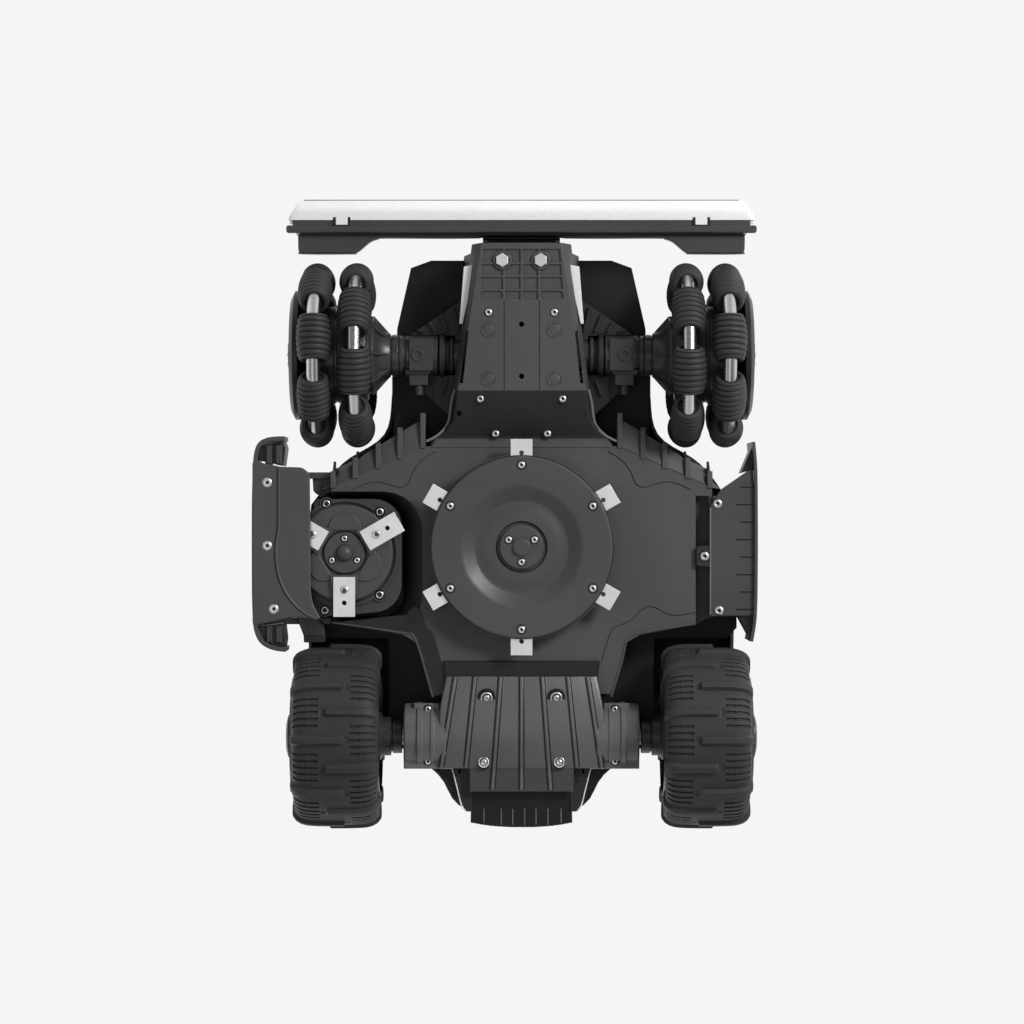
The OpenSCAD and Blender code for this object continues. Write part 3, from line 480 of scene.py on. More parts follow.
def rounded(points, radius, steps=5):
    """A closed outline with its corners rounded."""
    p = np.array(points, float)
    out = []
    for i in range(len(p)):
        a, b, c = p[i - 1], p[i], p[(i + 1) % len(p)]
        u, v = a - b, c - b
        lu, lv = np.linalg.norm(u), np.linalg.norm(v)
        cut = min(radius, lu * 0.45, lv * 0.45)
        start, end = b + u / lu * cut, b + v / lv * cut
        for k in range(steps + 1):
            t = k / steps
            out.append(start * (1 - t) ** 2 + b * 2 * t * (1 - t) + end * t * t)
    return np.array(out)


def sweep(path, section):
    """Section points (across, up) carried along a path of (x, y, z), and kept upright."""
    p = np.array(path, float)
    tangent = np.gradient(p[:, :2], axis=0)
    tangent /= np.maximum(np.linalg.norm(tangent, axis=1), 1e-9)[:, None]
    return loft([[(x - v * across, y + u * across, z + up) for across, up in section]
                 for (x, y, z), (u, v) in zip(p, tangent)])


def mirrored(points):
    """The outline and its mirror image across the middle plane, as one closed outline."""
    return [tuple(q) for q in points] + [(-q[0], q[1]) for q in points[::-1]]


def along_x(x, y, z):
    """Takes a shape made along +Z so that it lies along +X from the point."""
    return at(x, y, z, ry=90)


# ---------------------------------------------------------------- rear tyres

TYRE_X = 171.0
LUGS = 10
PITCH = 360 / LUGS                                      # degrees between the lugs of one side
LUG_START = {1: 1.0, -1: 1.0 + PITCH / 2}               # degrees, for the outer and the inner side
SIPES = ((19.3, 4.4), (32.2, 7.2), (46.6, 4.2))         # middle and half length across the tread, in mm
SIPE_TURNS = [row * 4.4 for row in range(-2, 3)]        # degrees from the middle between two lugs


def step(value, low, high):
    t = np.clip((value - low) / (high - low), 0, 1)
    return t * t * (3 - 2 * t)


def window(value, centre, half, ramp):
    """1 within half of the centre, and 0 beyond half + ramp."""
    return 1 - step(np.abs(value - centre), half, half + ramp)


def tyre_profile():
    """The carcass from bead to bead: length from the middle of the tread, x and radius."""
    half = np.array([(0, 82.5), (14, 82.35), (24, 81.9), (30, 80.9), (34.4, 78.8), (37.4, 75.4),
                     (38.9, 71.4), (39.2, 67.2), (38.3, 63.4), (36.6, 60.4), (35.0, 58.2)])
    xs = np.concatenate([-half[:0:-1, 0], half[:, 0]])
    rs = np.concatenate([half[:0:-1, 1], half[:, 1]])
    length = np.concatenate([[0], np.cumsum(np.hypot(np.diff(xs), np.diff(rs)))])
    return length - length[len(length) // 2], xs, rs


def smooth_curve(at_s, s, values):
    """Values over s, smoothly interpolated at other places."""
    slopes = np.gradient(values, s)
    k = np.clip(np.searchsorted(s, at_s) - 1, 0, len(s) - 2)
    h = s[k + 1] - s[k]
    t = (at_s - s[k]) / h
    ends = (2 * t**3 - 3 * t**2 + 1) * values[k] + (3 * t**2 - 2 * t**3) * values[k + 1]
    return ends + h * ((t**3 - 2 * t**2 + t) * slopes[k] + (t**3 - t**2) * slopes[k + 1])


def tyre_heights(angle, s):
    """How far the tread stands out from the carcass, at an angle in degrees and a place s across it."""
    shape = np.broadcast(angle, s).shape
    lugs, cuts, hollows = np.zeros(shape), np.zeros(shape), np.zeros(shape)
    for sign, offset in LUG_START.items():
        across = s * sign
        around = (angle - offset + PITCH / 2) % PITCH - PITCH / 2
        between = (angle - offset) % PITCH - PITCH / 2
        width = 1.6 + 0.5 * step(across, 20, 38)
        reach = step(across, -8.6, -6.6) * (1 - step(across, 54.5, 56.5))
        top = 3.4 - 1.5 * step(across, 36, 54)
        lugs = np.maximum(lugs, (1 - step(np.abs(around), width, width + 1.5)) * reach * top)
        hollows = np.maximum(hollows, window(across, -11.2, 2.0, 0.9) * window(around, 0, 1.7, 0.9))
        for turn in SIPE_TURNS:
            for centre, half in SIPES:
                sipe = window(between, turn, 0.55, 0.45) * window(across, centre, half, 0.6)
                cuts = np.maximum(cuts, sipe)
    height = lugs - 0.9 * hollows * (lugs < 0.1) - 1.5 * cuts * (lugs < 0.1)
    return height + 0.55 * window(np.abs(s), 59.5, 1.0, 0.5)


def tread_angles():
    """Degrees round the tyre: every second degree, and the edges of each lug and sipe."""
    angles = set(np.arange(0, 360, 2.0))
    for k in range(LUGS):
        for offset in LUG_START.values():
            lug = offset + k * PITCH
            edges = [(lug, d) for d in (1.6, 2.1, 2.6, 3.1, 3.6)]
            edges += [(lug + PITCH / 2 + turn, d) for turn in SIPE_TURNS for d in (0.55, 1.0)]
            for middle, d in edges:
                angles.update(((middle + d) % 360, (middle - d) % 360))
    angles = np.array(sorted(round(a, 3) for a in angles))
    return angles[np.concatenate([[True], np.diff(angles) > 0.12])]


def tread_places(end):
    """Places across the tyre from bead to bead, among them the edges of the lugs, sipes and bead lines."""
    places = {0.0, 3.5, 6.6, 7.6, 8.6, 9.4, 13.0, 27.8, 36.0, 53.2, 54.5, 55.6, 56.5, 58.0, 58.5, 59.0, 60.0,
              60.5, 61.0}
    for centre, half in SIPES:
        places.update((centre - half - 0.6, centre - half, centre, centre + half, centre + half + 0.6))
    places = sorted(round(p, 3) for p in places if p < end - 0.2)
    return np.array([-end] + [-p for p in places[::-1]] + places[1:] + [end])


def make_tyre(side):
    length, xs, rs = tyre_profile()
    angles, places = tread_angles(), tread_places(length[-1])
    x, r = smooth_curve(places, length, xs), smooth_curve(places, length, rs)
    dx, dr = np.gradient(x, places), np.gradient(r, places)
    height = tyre_heights(angles[:, None], places[None, :]) / np.hypot(dx, dr)
    across = np.clip(x - dr * height, -40.8, 40.8)
    radius = np.minimum(r + dx * height, 85.9)
    bore = [(32.0, 58.0), (0.0, 58.0), (-32.0, 58.0)]
    rings = []
    for degrees, us, vs in zip(angles, across, radius):
        # angle 0 is the bottom of the wheel and grows towards the front
        a = math.radians(degrees)
        rings.append([(TYRE_X + u, REAR_Y - v * math.sin(a), AXLE_Z - v * math.cos(a))
                      for u, v in [*zip(us, vs), *bore]])
    tyre = Builder()
    tyre.add(loft(rings, "joined"), SIDES[side])
    tyre.piece(f"tyre_{side}", ["tyre"], f"rear_wheel_{side}", "tyre_rubber", [f"rear_tyre_{side}"], 40)


# ---------------------------------------------------------------- screws

def screw_head(radius, height, socket=0.45, steps=28):
    """A button head that points down, with a hexagon socket; its seat is at z = 0."""
    s = radius * socket
    return lathe([(0, 0.0), (radius * 0.96, 0.0), (radius, -0.25 * height), (radius * 0.93, -0.62 * height),
                  (radius * 0.78, -0.88 * height), (radius * 0.6, -height), (s * 1.12, -height),
                  (s, -height + 0.12), (s * 0.98, -0.42 * height), (0, -0.34 * height)], steps)


def add_screw(add, point, radius, height, seat, socket=0.4):
    """A screw from below, with a black ring round its seat that paints the shade of its recess and a black
    hexagon in its socket that paints the socket's shade. The first argument is Builder.add or Builder.both."""
    where = at(*point)
    add(screw_head(radius, height, socket), where)
    s = radius * socket * 1.04
    # a black hexagon in the socket paints the socket's shade
    add(lathe([(0, -0.3 * height), (s, -0.3 * height), (s, -0.5 * height), (0, -0.5 * height)], 6), where, 1)
    # a black ring round the seat paints the shade of its recess
    if seat:
        r = radius * 0.8
        add(lathe([(r, 0.1), (r, -0.22), (seat - 0.35, -0.22), (seat, 0.1), (r, 0.1)], 32), where, 1)


# ---------------------------------------------------------------- omni wheels

ROW_X = {"inner": 153.0, "outer": 190.0}
ROW_TURN = {"inner": 13.7, "outer": -10.4}
RADIUS = 70.0                       # of the circle that the rollers' middles lie on


def roller_profile():
    """A barrel with seven rounded rings between two plain collars."""
    def outline(s):
        return math.sqrt(86.0 ** 2 - s * s) - RADIUS

    half, pitch, rings = 21.0, 5.3, 7
    collar = [(3.2, half - 1.6), (8.6, half - 1.6), (9.0, half - 0.4), (9.6, half)]
    for degrees in range(75, -1, -15):
        collar.append(on_circle(2.2, degrees, (outline(half) - 2.2, half - 2.2)))
    body = []
    for k in range(rings * 10 + 1):
        z = (rings / 2 - k / 10) * pitch
        body.append((outline(z) - 1.7 * abs((k % 10) / 5 - 1) ** 3.2, z))
    return collar + body + [(r, -z) for r, z in collar[::-1]]


def make_rollers():
    verts, faces = lathe(roller_profile(), 40)
    shared = make_mesh("tread", [tuple(c * MM for c in v) for v in verts], faces, ["roller"])
    for side, sign in (("left", 1), ("right", -1)):
        for row in ROW_X:
            for i in range(1, 9):
                name = f"roller_{side}_{row}_{i}"
                obj = link(bpy.data.objects.new("tread_" + name, shared.data))
                place = (Matrix.Translation(to_frame((sign * ROW_X[row], FRONT_Y, AXLE_Z)))
                         @ at(0, 0, 0, rx=ROW_TURN[row] + 45 * (i - 1)) @ at(0, 0, -RADIUS * MM, rx=-90))
                if i == 1:
                    # the lowest roller has its place in its own mesh, to keep its box above the ground
                    obj.data = shared.data.copy()
                    obj.data.transform(place)
                else:
                    obj.matrix_world = place
                enter(obj, name + "_body", [name])
    bpy.data.objects.remove(shared)


def sleeve(radius, steps=28):
    """A rod along Z whose two ends are cut to stay clear of the rollers beside it."""
    circle = [on_circle(radius, 360 * k / steps) for k in range(steps)]
    return loft([[(x, y, sign * (7.6 + 0.383 * x) / 0.924) for x, y in circle] for sign in (-1, 1)])


def cap_height(r, a):
    """The omni wheel's outer face: a raised boss, five broad spokes in a dish, and a rim."""
    rim = step(r, 47.0, 50.0)
    boss = 1 - step(r, 13.5, 17.0)
    spoke = window((a % 72) - 36, 0, 300 / max(r, 6), 110 / max(r, 6))
    return 209.6 + float(max(boss * 7.4, spoke * 3.6, rim * 4.2)) - 0.5 * max(r - 53, 0.0)


def omni_cap():
    radii = (3, 6, 9, 12, 13.5, 14.4, 15.2, 16.1, 17, 19, 22, 26, 30, 34, 38, 42, 45, 47, 47.8, 48.5, 49.2,
             50, 53, 56, 58.6, 59.6, 60)
    face = [(0, cap_height(0, 0))] + [(r, lambda a, r=r: cap_height(r, a)) for r in radii]
    return lathe(face + [(60, 205.6), (59, 204.8), (54, 203.6), (45, 198), (0, 198)], 180)


def make_omni_hub(side):
    """The drum with its bellows flank, the spoked cap, and the arms, pins and sleeves of the rollers."""
    hub = Builder()
    flip = SIDES[side]
    axle = flip @ along_x(0, FRONT_Y, AXLE_Z)
    hub.add(lathe([(0, 114), (18.6, 114), (19.5, 114.9), (19.5, 120), (18.6, 120.6), (18.6, 121.6),
                   (20.4, 122.2), (21.6, 125), (23.6, 129.5), (27.2, 133.6), (31.8, 136.2), (34.6, 137),
                   (35.4, 138), (35.4, 141.6), (37.5, 142.2), (41.5, 142.6), (44.2, 144.2), (45, 146.4),
                   (45, 169.6), (43.8, 170.4), (43.8, 172.6), (45, 173.4), (45, 199), (0, 199)], 96), axle)
    fin = prism([(19.6, 122), (36.5, 137.2), (36.5, 141), (20, 141)], -0.8, 0.8, 0.2, 0.2)
    swap = Matrix(((0, 1, 0, 0), (1, 0, 0, 0), (0, 0, 1, 0), (0, 0, 0, 1)))
    for k in range(8):
        hub.add(fin, flip @ at(0, FRONT_Y, AXLE_Z, rx=45 * k) @ swap)
    hub.add(omni_cap(), axle, 1)
    pin = lathe([(0, -24), (2.9, -24), (2.9, 24), (0, 24)], 16)
    for row, x in ROW_X.items():
        for i in range(8):
            middle = flip @ at(x, FRONT_Y, AXLE_Z, rx=ROW_TURN[row] + 45 * i)
            corner = middle @ at(0, 0, 0, rx=22.5)
            joint = corner @ at(0, 0, -RADIUS / math.cos(math.radians(22.5)), rx=-90) @ at(0, 0, 0, rz=90)
            hub.add(pin, middle @ at(0, 0, -RADIUS, rx=-90), 2)
            hub.add(sleeve(6.1), joint, 2)
            for dx in (-3.4, 3.4):
                hub.add(box(dx - 1.2, dx + 1.2, -2.6, 2.6, -71.5, -43.5, 0), corner)
            hub.add(prism([(-6.4, -4.5), (6.4, -4.5), (6.4, 4.5), (-6.4, 4.5)], -49.5, -42.5, 1.0), corner)
    for k in range(5):
        hub.add(screw_head(2.3, 1.1, steps=20), axle @ at(*on_circle(9.2, 72 * k), 216.8, rx=180), 2)
    hub.piece(f"omni_wheel_{side}_hub", ["hub", "black", "sleeve"], f"omni_wheel_{side}", "hub_plastic",
              [f"omni_hub_{side}"])


for make_wheel in (make_tyre, make_omni_hub):
    for side in SIDES:
        make_wheel(side)
make_rollers()


def make_disc_screws():
    """The main disc's screws, and a black ring round its edge that paints the shadow of the gap there."""
    disc = Builder()
    for degrees in range(30, 390, 60):
        add_screw(disc.add, (*on_circle(75.8, degrees, DISC), 46.0), 3.5, 2.0, 4.9)
    for degrees in (90, 210, 330):
        add_screw(disc.add, (*on_circle(13.7, degrees, DISC), 48.0), 3.3, 1.8, 4.3)
    # a black ring round the disc's edge paints the shadow of the gap there
    disc.add(lathe([(84.05, 48.8), (84.8, 48.8), (84.8, 50.8), (84.05, 50.8), (84.05, 48.8)], 120),
             at(*DISC, 0), 1)
    disc.piece("disc_screws", ["screw", "black"], "main_disc", "screw_steel")


make_disc_screws()

# ---------------------------------------------------------------- rear axle cover

# y, height of the underside and half width
COVER = curve([(151.6, 64.5, 69.8), (163, 61.6, 72.2), (176, 59.4, 74.8), (187, 58.2, 76), (198, 57.6, 76),
               (209, 58.4, 76), (220, 60.8, 76), (230, 64, 76), (236.6, 66.6, 76)], 4)


def cover_z(y):
    return float(np.interp(y, COVER[:, 0], COVER[:, 1])) if y < 236.6 else 66.8


def make_axle_cover():
    cover = Builder()
    rings = []
    for y, z, w in COVER:
        half = [(w, 80), (w, z + 2.4), (w - 0.7, z + 0.7), (w - 2.4, z)]
        rings.append([(x, y, z) for x, z in mirrored(half)])
    cover.add(loft(rings))
    # the flap in the darker skirt plastic paints the shade it lies in
    cover.add(prism(mirrored([(48.6, 235), (48.2, 258.2)]), 67.0, 71.6, 0.8), slot=2)
    # a black strip across the front paints the shade on the slope there
    cover.add(prism(mirrored([(72.6, 137.4), (70.4, 152.4)]), 68.2, 71.9, 0.8), slot=1)
    for x0, x1, y1 in ((0, 0, 258.3), (19.2, 27.2, 258.3), (43, 51.6, 236.8), (61.2, 74.6, 236.8)):
        path = [(x0 + (x1 - x0) * (y - 151.6) / (y1 - 151.6), y, cover_z(y))
                for y in np.arange(151.7, y1, 3.0)]
        add = cover.both if x0 else cover.add
        # a black strip wider than each rib, under it, paints the shadow beside the rib
        add(sweep(path, mirrored([(2.9, 0.8), (2.9, -0.2)])), slot=1)
        add(sweep(path, mirrored([(1.7, 0.6), (1.3, -1.1), (0.9, -1.45)])))
    bell = lathe([(20, 70), (29.6, 70), (29.6, 80.5), (30.6, 81.2), (30.6, 84), (29.6, 84.6), (29.6, 91.6),
                  (31.2, 92.4), (31.2, 96.6), (29.6, 97.4), (29.6, 107.8), (28.2, 109.3), (24.5, 109.3),
                  (24.5, 106), (10, 106), (10, 100), (20, 100)], 96)
    cover.both(bell, along_x(0, 207, AXLE_Z))
    cover.both(box(76, 100, 176.5, 187, 70, 84, 0.8))
    cover.both(box(72, 109.3, 228, 237.2, 68, 84, 0.8))
    # black rings round the bolts paint the shade in their recesses
    for x, y, r, tilt in ((32.3, 171.0, 8.7, 8), (35, 232.0, 5.6, -14)):
        ring = [(r - 2.9, 1.0), (r - 2.9, -0.2), (r - 2.2, -0.5), (r - 0.5, -0.5), (r, 1.0), (r - 2.9, 1.0)]
        cover.both(lathe(ring, 40), at(x, y, cover_z(y), rx=tilt), 1)
    cover.piece("rear_axle_housing", ["cover", "black", "skirt"], "chassis", "cover_plastic",
                ["rear_axle_cover"])


def make_tail():
    tail = Builder()
    outline = mirrored([(46.6, 257), (47.4, 288), (36, 290.2), (24, 291.6), (10, 292.4)])
    tail.add(prism(outline, 78, 178, 1.0, 1.0))
    for x in (-35.0, -18.8, -8.2, 2.9, 13.5, 24.5, 36.8):
        tail.add(box(x - 0.6, x + 0.6, 275, 288.4 if abs(x) > 30 else 290, 77.2, 79, 0.2), slot=1)
    for z in range(96, 172, 8):
        tail.add(box(-30, 30, 286.0, 292.9, z, z + 3.4, 0.5), slot=2)
    flange = [(44, 236), (64.4, 236), (55.9, 271), (51, 277.6), (46, 277.6)]
    tail.both(prism(flange, 76.6, 79.4, 0.3), slot=2)
    tail.both(prism([(64, 237.4), (76.4, 237.4), (54.6, 275.8), (51.6, 277.4)], 82, 84, 0.3))
    # a white bead along the flange's edge paints a highlight there
    line = curve([(76.0, 237.4, 77), (66, 237.3, 76.6), (64.2, 238.8, 76.5), (60, 255, 76.5),
                  (55.9, 271, 76.5), (51.6, 277.6, 77)], 4)
    tail.both(sweep(line, mirrored([(0.7, 0.8), (0.5, -0.5)])), slot=3)
    # black discs paint the holes' shade
    for x, y in ((53.4, 248.4), (56.4, 240.3), (58.6, 240.3)):
        tail.both(lathe([(0, 76.4), (2.4, 76.4), (2.4, 77), (0, 77)], 24), at(x, y, 0), 4)
    tail.piece("tail_louvres", ["tail", "cover", "beam", "white", "black"], "chassis", "dark_plastic",
               ["tail_grille"])


make_axle_cover()
make_tail()

# ---------------------------------------------------------------- keel

def keel_section(y):
    """The keel's cross-section at y: a channel that is open at its top."""
    places = (-249, -113, -86, -76, -69, -61)
    flat = np.interp(y, places, (37.3, 59, 62.5, 70, 80, 84))
    rim = np.interp(y, places, (46, 63, 65.5, 73, 83, 86))
    low = np.interp(y, (-113, -69), (48, 71.4))
    top = max(66.0, low + 3.2)
    half = [(flat - 0.6, low), (flat + 0.5, low + 1.0), (rim, top), (rim - 2.4, top),
            (flat - 2.2, low + 3.0)]
    return [(x, y, z) for x, z in mirrored(half)]


def keel_cuts():
    """The recess with its grid of ribs, the slots, the grooves and the holes."""
    tool = Builder()
    end = -196.8
    for y0, y1 in ((-243.4, -231), (-229.4, -219), (-217.4, -206.4), (-204.8, end)):
        x0, x1 = [38.8 - (end - y) * 0.07 for y in (y0, y1)]
        inner = [(0.9, y0), (15.3, y0), (15.3, y1), (0.9, y1)]
        outer = [(17.1, y0), (x0, y0), (x1, y1), (17.1, y1)]
        tool.both(prism(rounded(inner, 0.4, 3), 47, 49.7))
        tool.both(prism(rounded(outer, 3 if y1 == end else 0.4, 3), 47, 49.7))
    tool.both(prism([(48.9, -167.6), (51.9, -168), (57.2, -119.6), (54, -119.6)], 46, 56))
    tool.both(box(15.7, 16.7, -195.9, -113.6, 47, 48.9, 0))
    tool.both(lathe([(0, 45), (2.5, 45), (2.5, 78), (0, 78)], 24), at(57.8, -92.2, 0))
    for y in (-174, -126):
        tool.add(lathe([(0, 45), (2.5, 45), (2.5, 58), (0, 58)], 32), at(0, y, 0))
    return tool


def make_keel():
    ys = (-249, -241, -200, -167, -120, -115, -113, -111, -104, -95, -86, -81, -76, -72.5, -69, -65, -61)
    verts, faces = loft([keel_section(y) for y in ys])
    slots = []
    for face in faces:
        y = sum(verts[i][1] for i in face) / len(face)
        slots.append(0 if y < -113 else (1 if y < -69 else 2))
    keel = Builder()
    keel.add((verts, faces), slot=slots)
    keel.piece("keel_panel", ["keel", "beam", "deck"], "chassis", "keel_plastic", ["keel_cover"], 30,
               keel_cuts())


def make_keel_trim():
    """The keel's front wall, its bosses and bolt rings, pale lips on its foot that paint a rim highlight
    along the flare's edge, and white strips beside it that paint the reflection on its side walls.
    """
    trim = Builder()
    trim.add(prism(mirrored([(37.2, -249), (37.8, -246)]), 48.4, 66, 0.4))
    boss = lathe([(0, 48.4), (0, 47.7), (5.3, 47.7), (5.9, 48.0), (6.1, 47.2), (6.9, 47.2), (7.3, 48.4),
                  (0, 48.4)], 48)
    for y in (-169.2, -123.6):
        trim.both(boss, at(30.3, y, 0))
    trim.both(lathe([(6.0, 50.4), (6.0, 48.4), (6.6, 47.7), (8.4, 47.7), (9.1, 48.6), (9.1, 52), (6.0, 52),
                     (6.0, 50.4)], 48), at(17.7, -233, 0))
    # a bead of pale plastic along the flare's edge paints its rim highlight
    lip = curve([(62, -114, 58), (64.6, -104, 62), (66.4, -92, 66), (68, -84, 69), (72, -77.6, 70.6),
                 (79, -71.4, 71), (88.4, -66.6, 71.2)], 4)
    trim.both(sweep(lip, mirrored([(1.3, 0.8), (1.0, -0.8)])), slot=1)
    # white strips beside the keel paint the reflection on its side walls
    reflection_strip = [(44.6, -229.6), (53.4, -228), (55.6, -200), (57.6, -175), (54.4, -175), (49.0, -200)]
    trim.both(prism(reflection_strip, 59, 61, 0.4), slot=2)
    trim.piece("keel_trim", ["keel", "panel", "white"], "chassis", "keel_plastic", angle=30)


make_keel()
make_keel_trim()

# ---------------------------------------------------------------- chassis screws

def make_chassis_screws():
    screws = Builder()
    bolt = at(17.7, -233, 0)
    screws.both(prism([on_circle(6.4, 60 * k + 30) for k in range(6)], 45.2, 50.5, 0.7), bolt)
    # a black ring round the hexagon bolt paints the shade of its recess
    screws.both(lathe([(6.6, 50.6), (6.6, 48.3), (7.6, 47.9), (8.9, 47.9), (9.2, 50.6), (6.6, 50.6)], 40),
                bolt, 1)
    for point in ((30.3, -185, 48.2), (38, -105.5, 52), (24, -73.6, 68)):
        add_screw(screws.both, point, 3.6, 2.1, 4.6)
    for x, y, lift, r, tilt in ((32.3, 171, 0.3, 5.6, 8), (35, 230.6, -0.9, 5.2, -5)):
        seat = at(x, y, cover_z(y) + lift, rx=tilt)
        screws.both(lathe([(0, 3), (r, 3), (r, -0.5), (r - 0.5, -0.9), (r - 1.3, -0.9), (r - 1.5, -0.4),
                           (0, -0.4)], 36), seat)
        # a black ring round each cover bolt paints the shade of its seat
        screws.both(lathe([(3.1, 0), (3.1, -0.6), (4.1, -0.6), (4.1, 0), (3.1, 0)], 36), seat, 1)
        screws.both(screw_head(3.2, 2.2, 0.4), seat)
    for point in ((86.7, 182.0, 70), (86.7, 230.0, 68)):
        add_screw(screws.both, point, 3.3, 2.2, 4.5, 0.42)
    for x, y in ((-180.5, -8.5), (-131.2, -1), (-131.5, 75.5), (-182, 89.8)):
        add_screw(screws.add, (x, y, 62), 4.3, 2.0, 5.6, 0.52)
    for x, y in ((181.8, -8.8), (169.8, 40), (183.2, 90.4)):
        add_screw(screws.add, (x, y, 66.4), 4.4, 2.0, 5.4)
    for x, y in ((-233.5, -28.2), (-233.5, 29.9), (-227.4, 88)):
        add_screw(screws.add, (x, y, 38.6), 4.5, 1.3, 5.0, 0.36)
    screws.piece("chassis_screw_heads", ["screw", "black"], "chassis", "screw_steel", ["chassis_screws"])


make_chassis_screws()

# ---------------------------------------------------------------- bumper

def make_bumper_tray():
    tray = Builder()
    for x, y0, y1, corner, z0, z1, low, high in (
            (212, -273.4, -262, 1.5, 68, 141, 0.8, 0.8), (218, -266.6, -259.6, 2.5, 63.8, 69.4, 1.0, 1.0),
            (212, -273, -264, 1.5, 64.8, 70, 0.5, 0)):
        tray.add(prism(rounded([(-x, y0), (x, y0), (x, y1), (-x, y1)], corner), z0, z1, low, high))
    tray.add(prism(mirrored([(206, -261), (206, -257.6)]), 69.5, 76, 0.3), slot=1)
    pad = curve([(207.5, -259), (207.3, -246), (206.4, -242.6), (203.6, -240.9), (158, -240.9),
                 (153.4, -242), (149, -245), (144, -249.4), (139.5, -252.6), (133, -254.8), (124, -255.6),
                 (40, -255.8), (40, -259)], 3)
    tray.both(prism(pad, 71.5, 84, 0.8, 0.8))
    for x in (160, 188):
        tray.both(box(x, x + 3, -266, -246, 84, 118))
    tray.both(box(158, 175, -274.4, -266.8, 63.9, 66), slot=1)
    tray.both(box(161, 172, -274.0, -266.9, 63.2, 66), slot=2)
    tray.both(box(207, 215, -273.6, -268, 66.5, 69, 0.3), slot=2)
    for y in (-263.0, -258.0, -253.0):
        tray.add(box(-36, 36, y, y + 3.5, 84, 112, 1.0), slot=1)
    tray.add(box(-32, 32, -267, -249.6, 87, 109, 0.5), slot=1)
    tray.piece("bumper_carrier", ["tray", "black", "white"], "bumper", "tray_plastic", ["bumper_tray"])


FACE_Z, FACE_HALF, FACE_BULGE = 106, 42, 17.3       # the bumper's middle height, half height and bulge
FACE_Y = -276.6


def bumper_ring(x, depth, squash, thick, base):
    """Side view of the white cover at x, from its lower rear edge round the front to its upper rear edge.
    What lies in front of base is drawn in to the depth, and the height is squashed."""
    points = [(-271.4, 64 + thick), (-274.6, 64 + thick)]
    for k in range(25):
        c, s = on_circle(1, -84 + 7 * k)
        points.append((FACE_Y - (FACE_BULGE - thick) * c, FACE_Z + (FACE_HALF - thick) * s))
    points += [(-274.6, 148 - thick), (-271.4, 148 - thick)]
    return [(x, base + (y - base) * depth if y < base else y, FACE_Z + (z - FACE_Z) * (1 - squash / 60))
            for y, z in points]


def make_bumper_skin():
    skin = Builder()
    ends = [(-216, 0.0, 4.0), (-215.6, 0.12, 2.4), (-214.2, 0.4, 1.0), (-211.5, 0.68, 0.3),
            (-208.6, 0.9, 0.05), (-205.5, 1.0, 0.0)]
    middle = [(x, 1.0, 0.0) for x in (-150, -75, 0, 75, 150)]
    rings = []
    for x, depth, squash in ends + middle + [(-x, f, g) for x, f, g in ends[::-1]]:
        inner = bumper_ring(x * 0.985, depth * 0.98, squash, 2.4, -273.0)
        rings.append(bumper_ring(x, depth, squash, 0, -273.6) + inner[::-1])
    skin.add(loft(rings))
    for z in (86.0, 126.0):
        y = FACE_Y - 0.2 - FACE_BULGE * math.sqrt(1 - ((z - FACE_Z) / FACE_HALF) ** 2)
        line = [(x, y, z) for x in np.linspace(-203, 203, 9)]
        skin.add(sweep(line, [(-0.25, -0.7), (-0.25, 0.7), (0.6, 0.7), (0.6, -0.7)]), slot=1)
    skin.piece("bumper_skin", ["white", "panel"], "bumper", "bumper_white", ["bumper_cover"])


make_bumper_tray()
make_bumper_skin()

# ---------------------------------------------------------------- side walls

def wall(path, out, thick, z0, z1, depth):
    """An upright wall along a plan path; its outer face, on the out side, is sunk by depth(y, z)."""
    p = np.array(path, float)
    tangent = np.gradient(p, axis=0)
    tangent /= np.linalg.norm(tangent, axis=1)[:, None]
    levels = [z0, z0 + 0.6] + list(np.arange(z0 + 1.6, z1 - 1.2, 1.0)) + [z1 - 0.6, z1]
    rings = []
    for (x, y), (u, v) in zip(p, tangent * out):
        ring = []
        for z in levels:
            d = thick / 2 - depth(y, z) - (0.6 if z in (z0, z1) else 0)
            ring.append((x - v * d, y + u * d, z))
        back = (x + v * thick / 2, y - u * thick / 2)
        rings.append(ring + [(*back, z1), (*back, z0)])
    return loft(rings)


def louvred(y0, y1, z0, z1, pitch=8.0):
    """A sunk field with long level slats, between y0..y1 and z0..z1."""
    def depth(y, z):
        field = float(step(y, y0, y0 + 2.5) * (1 - step(y, y1 - 2.5, y1)) * step(z, z0, z0 + 1.5)
                      * (1 - step(z, z1 - 1.5, z1)))
        slat = float(window((z - z0) % pitch, pitch / 2, 1.6, 1.2))
        return field * (1.5 - 1.2 * slat)
    return depth


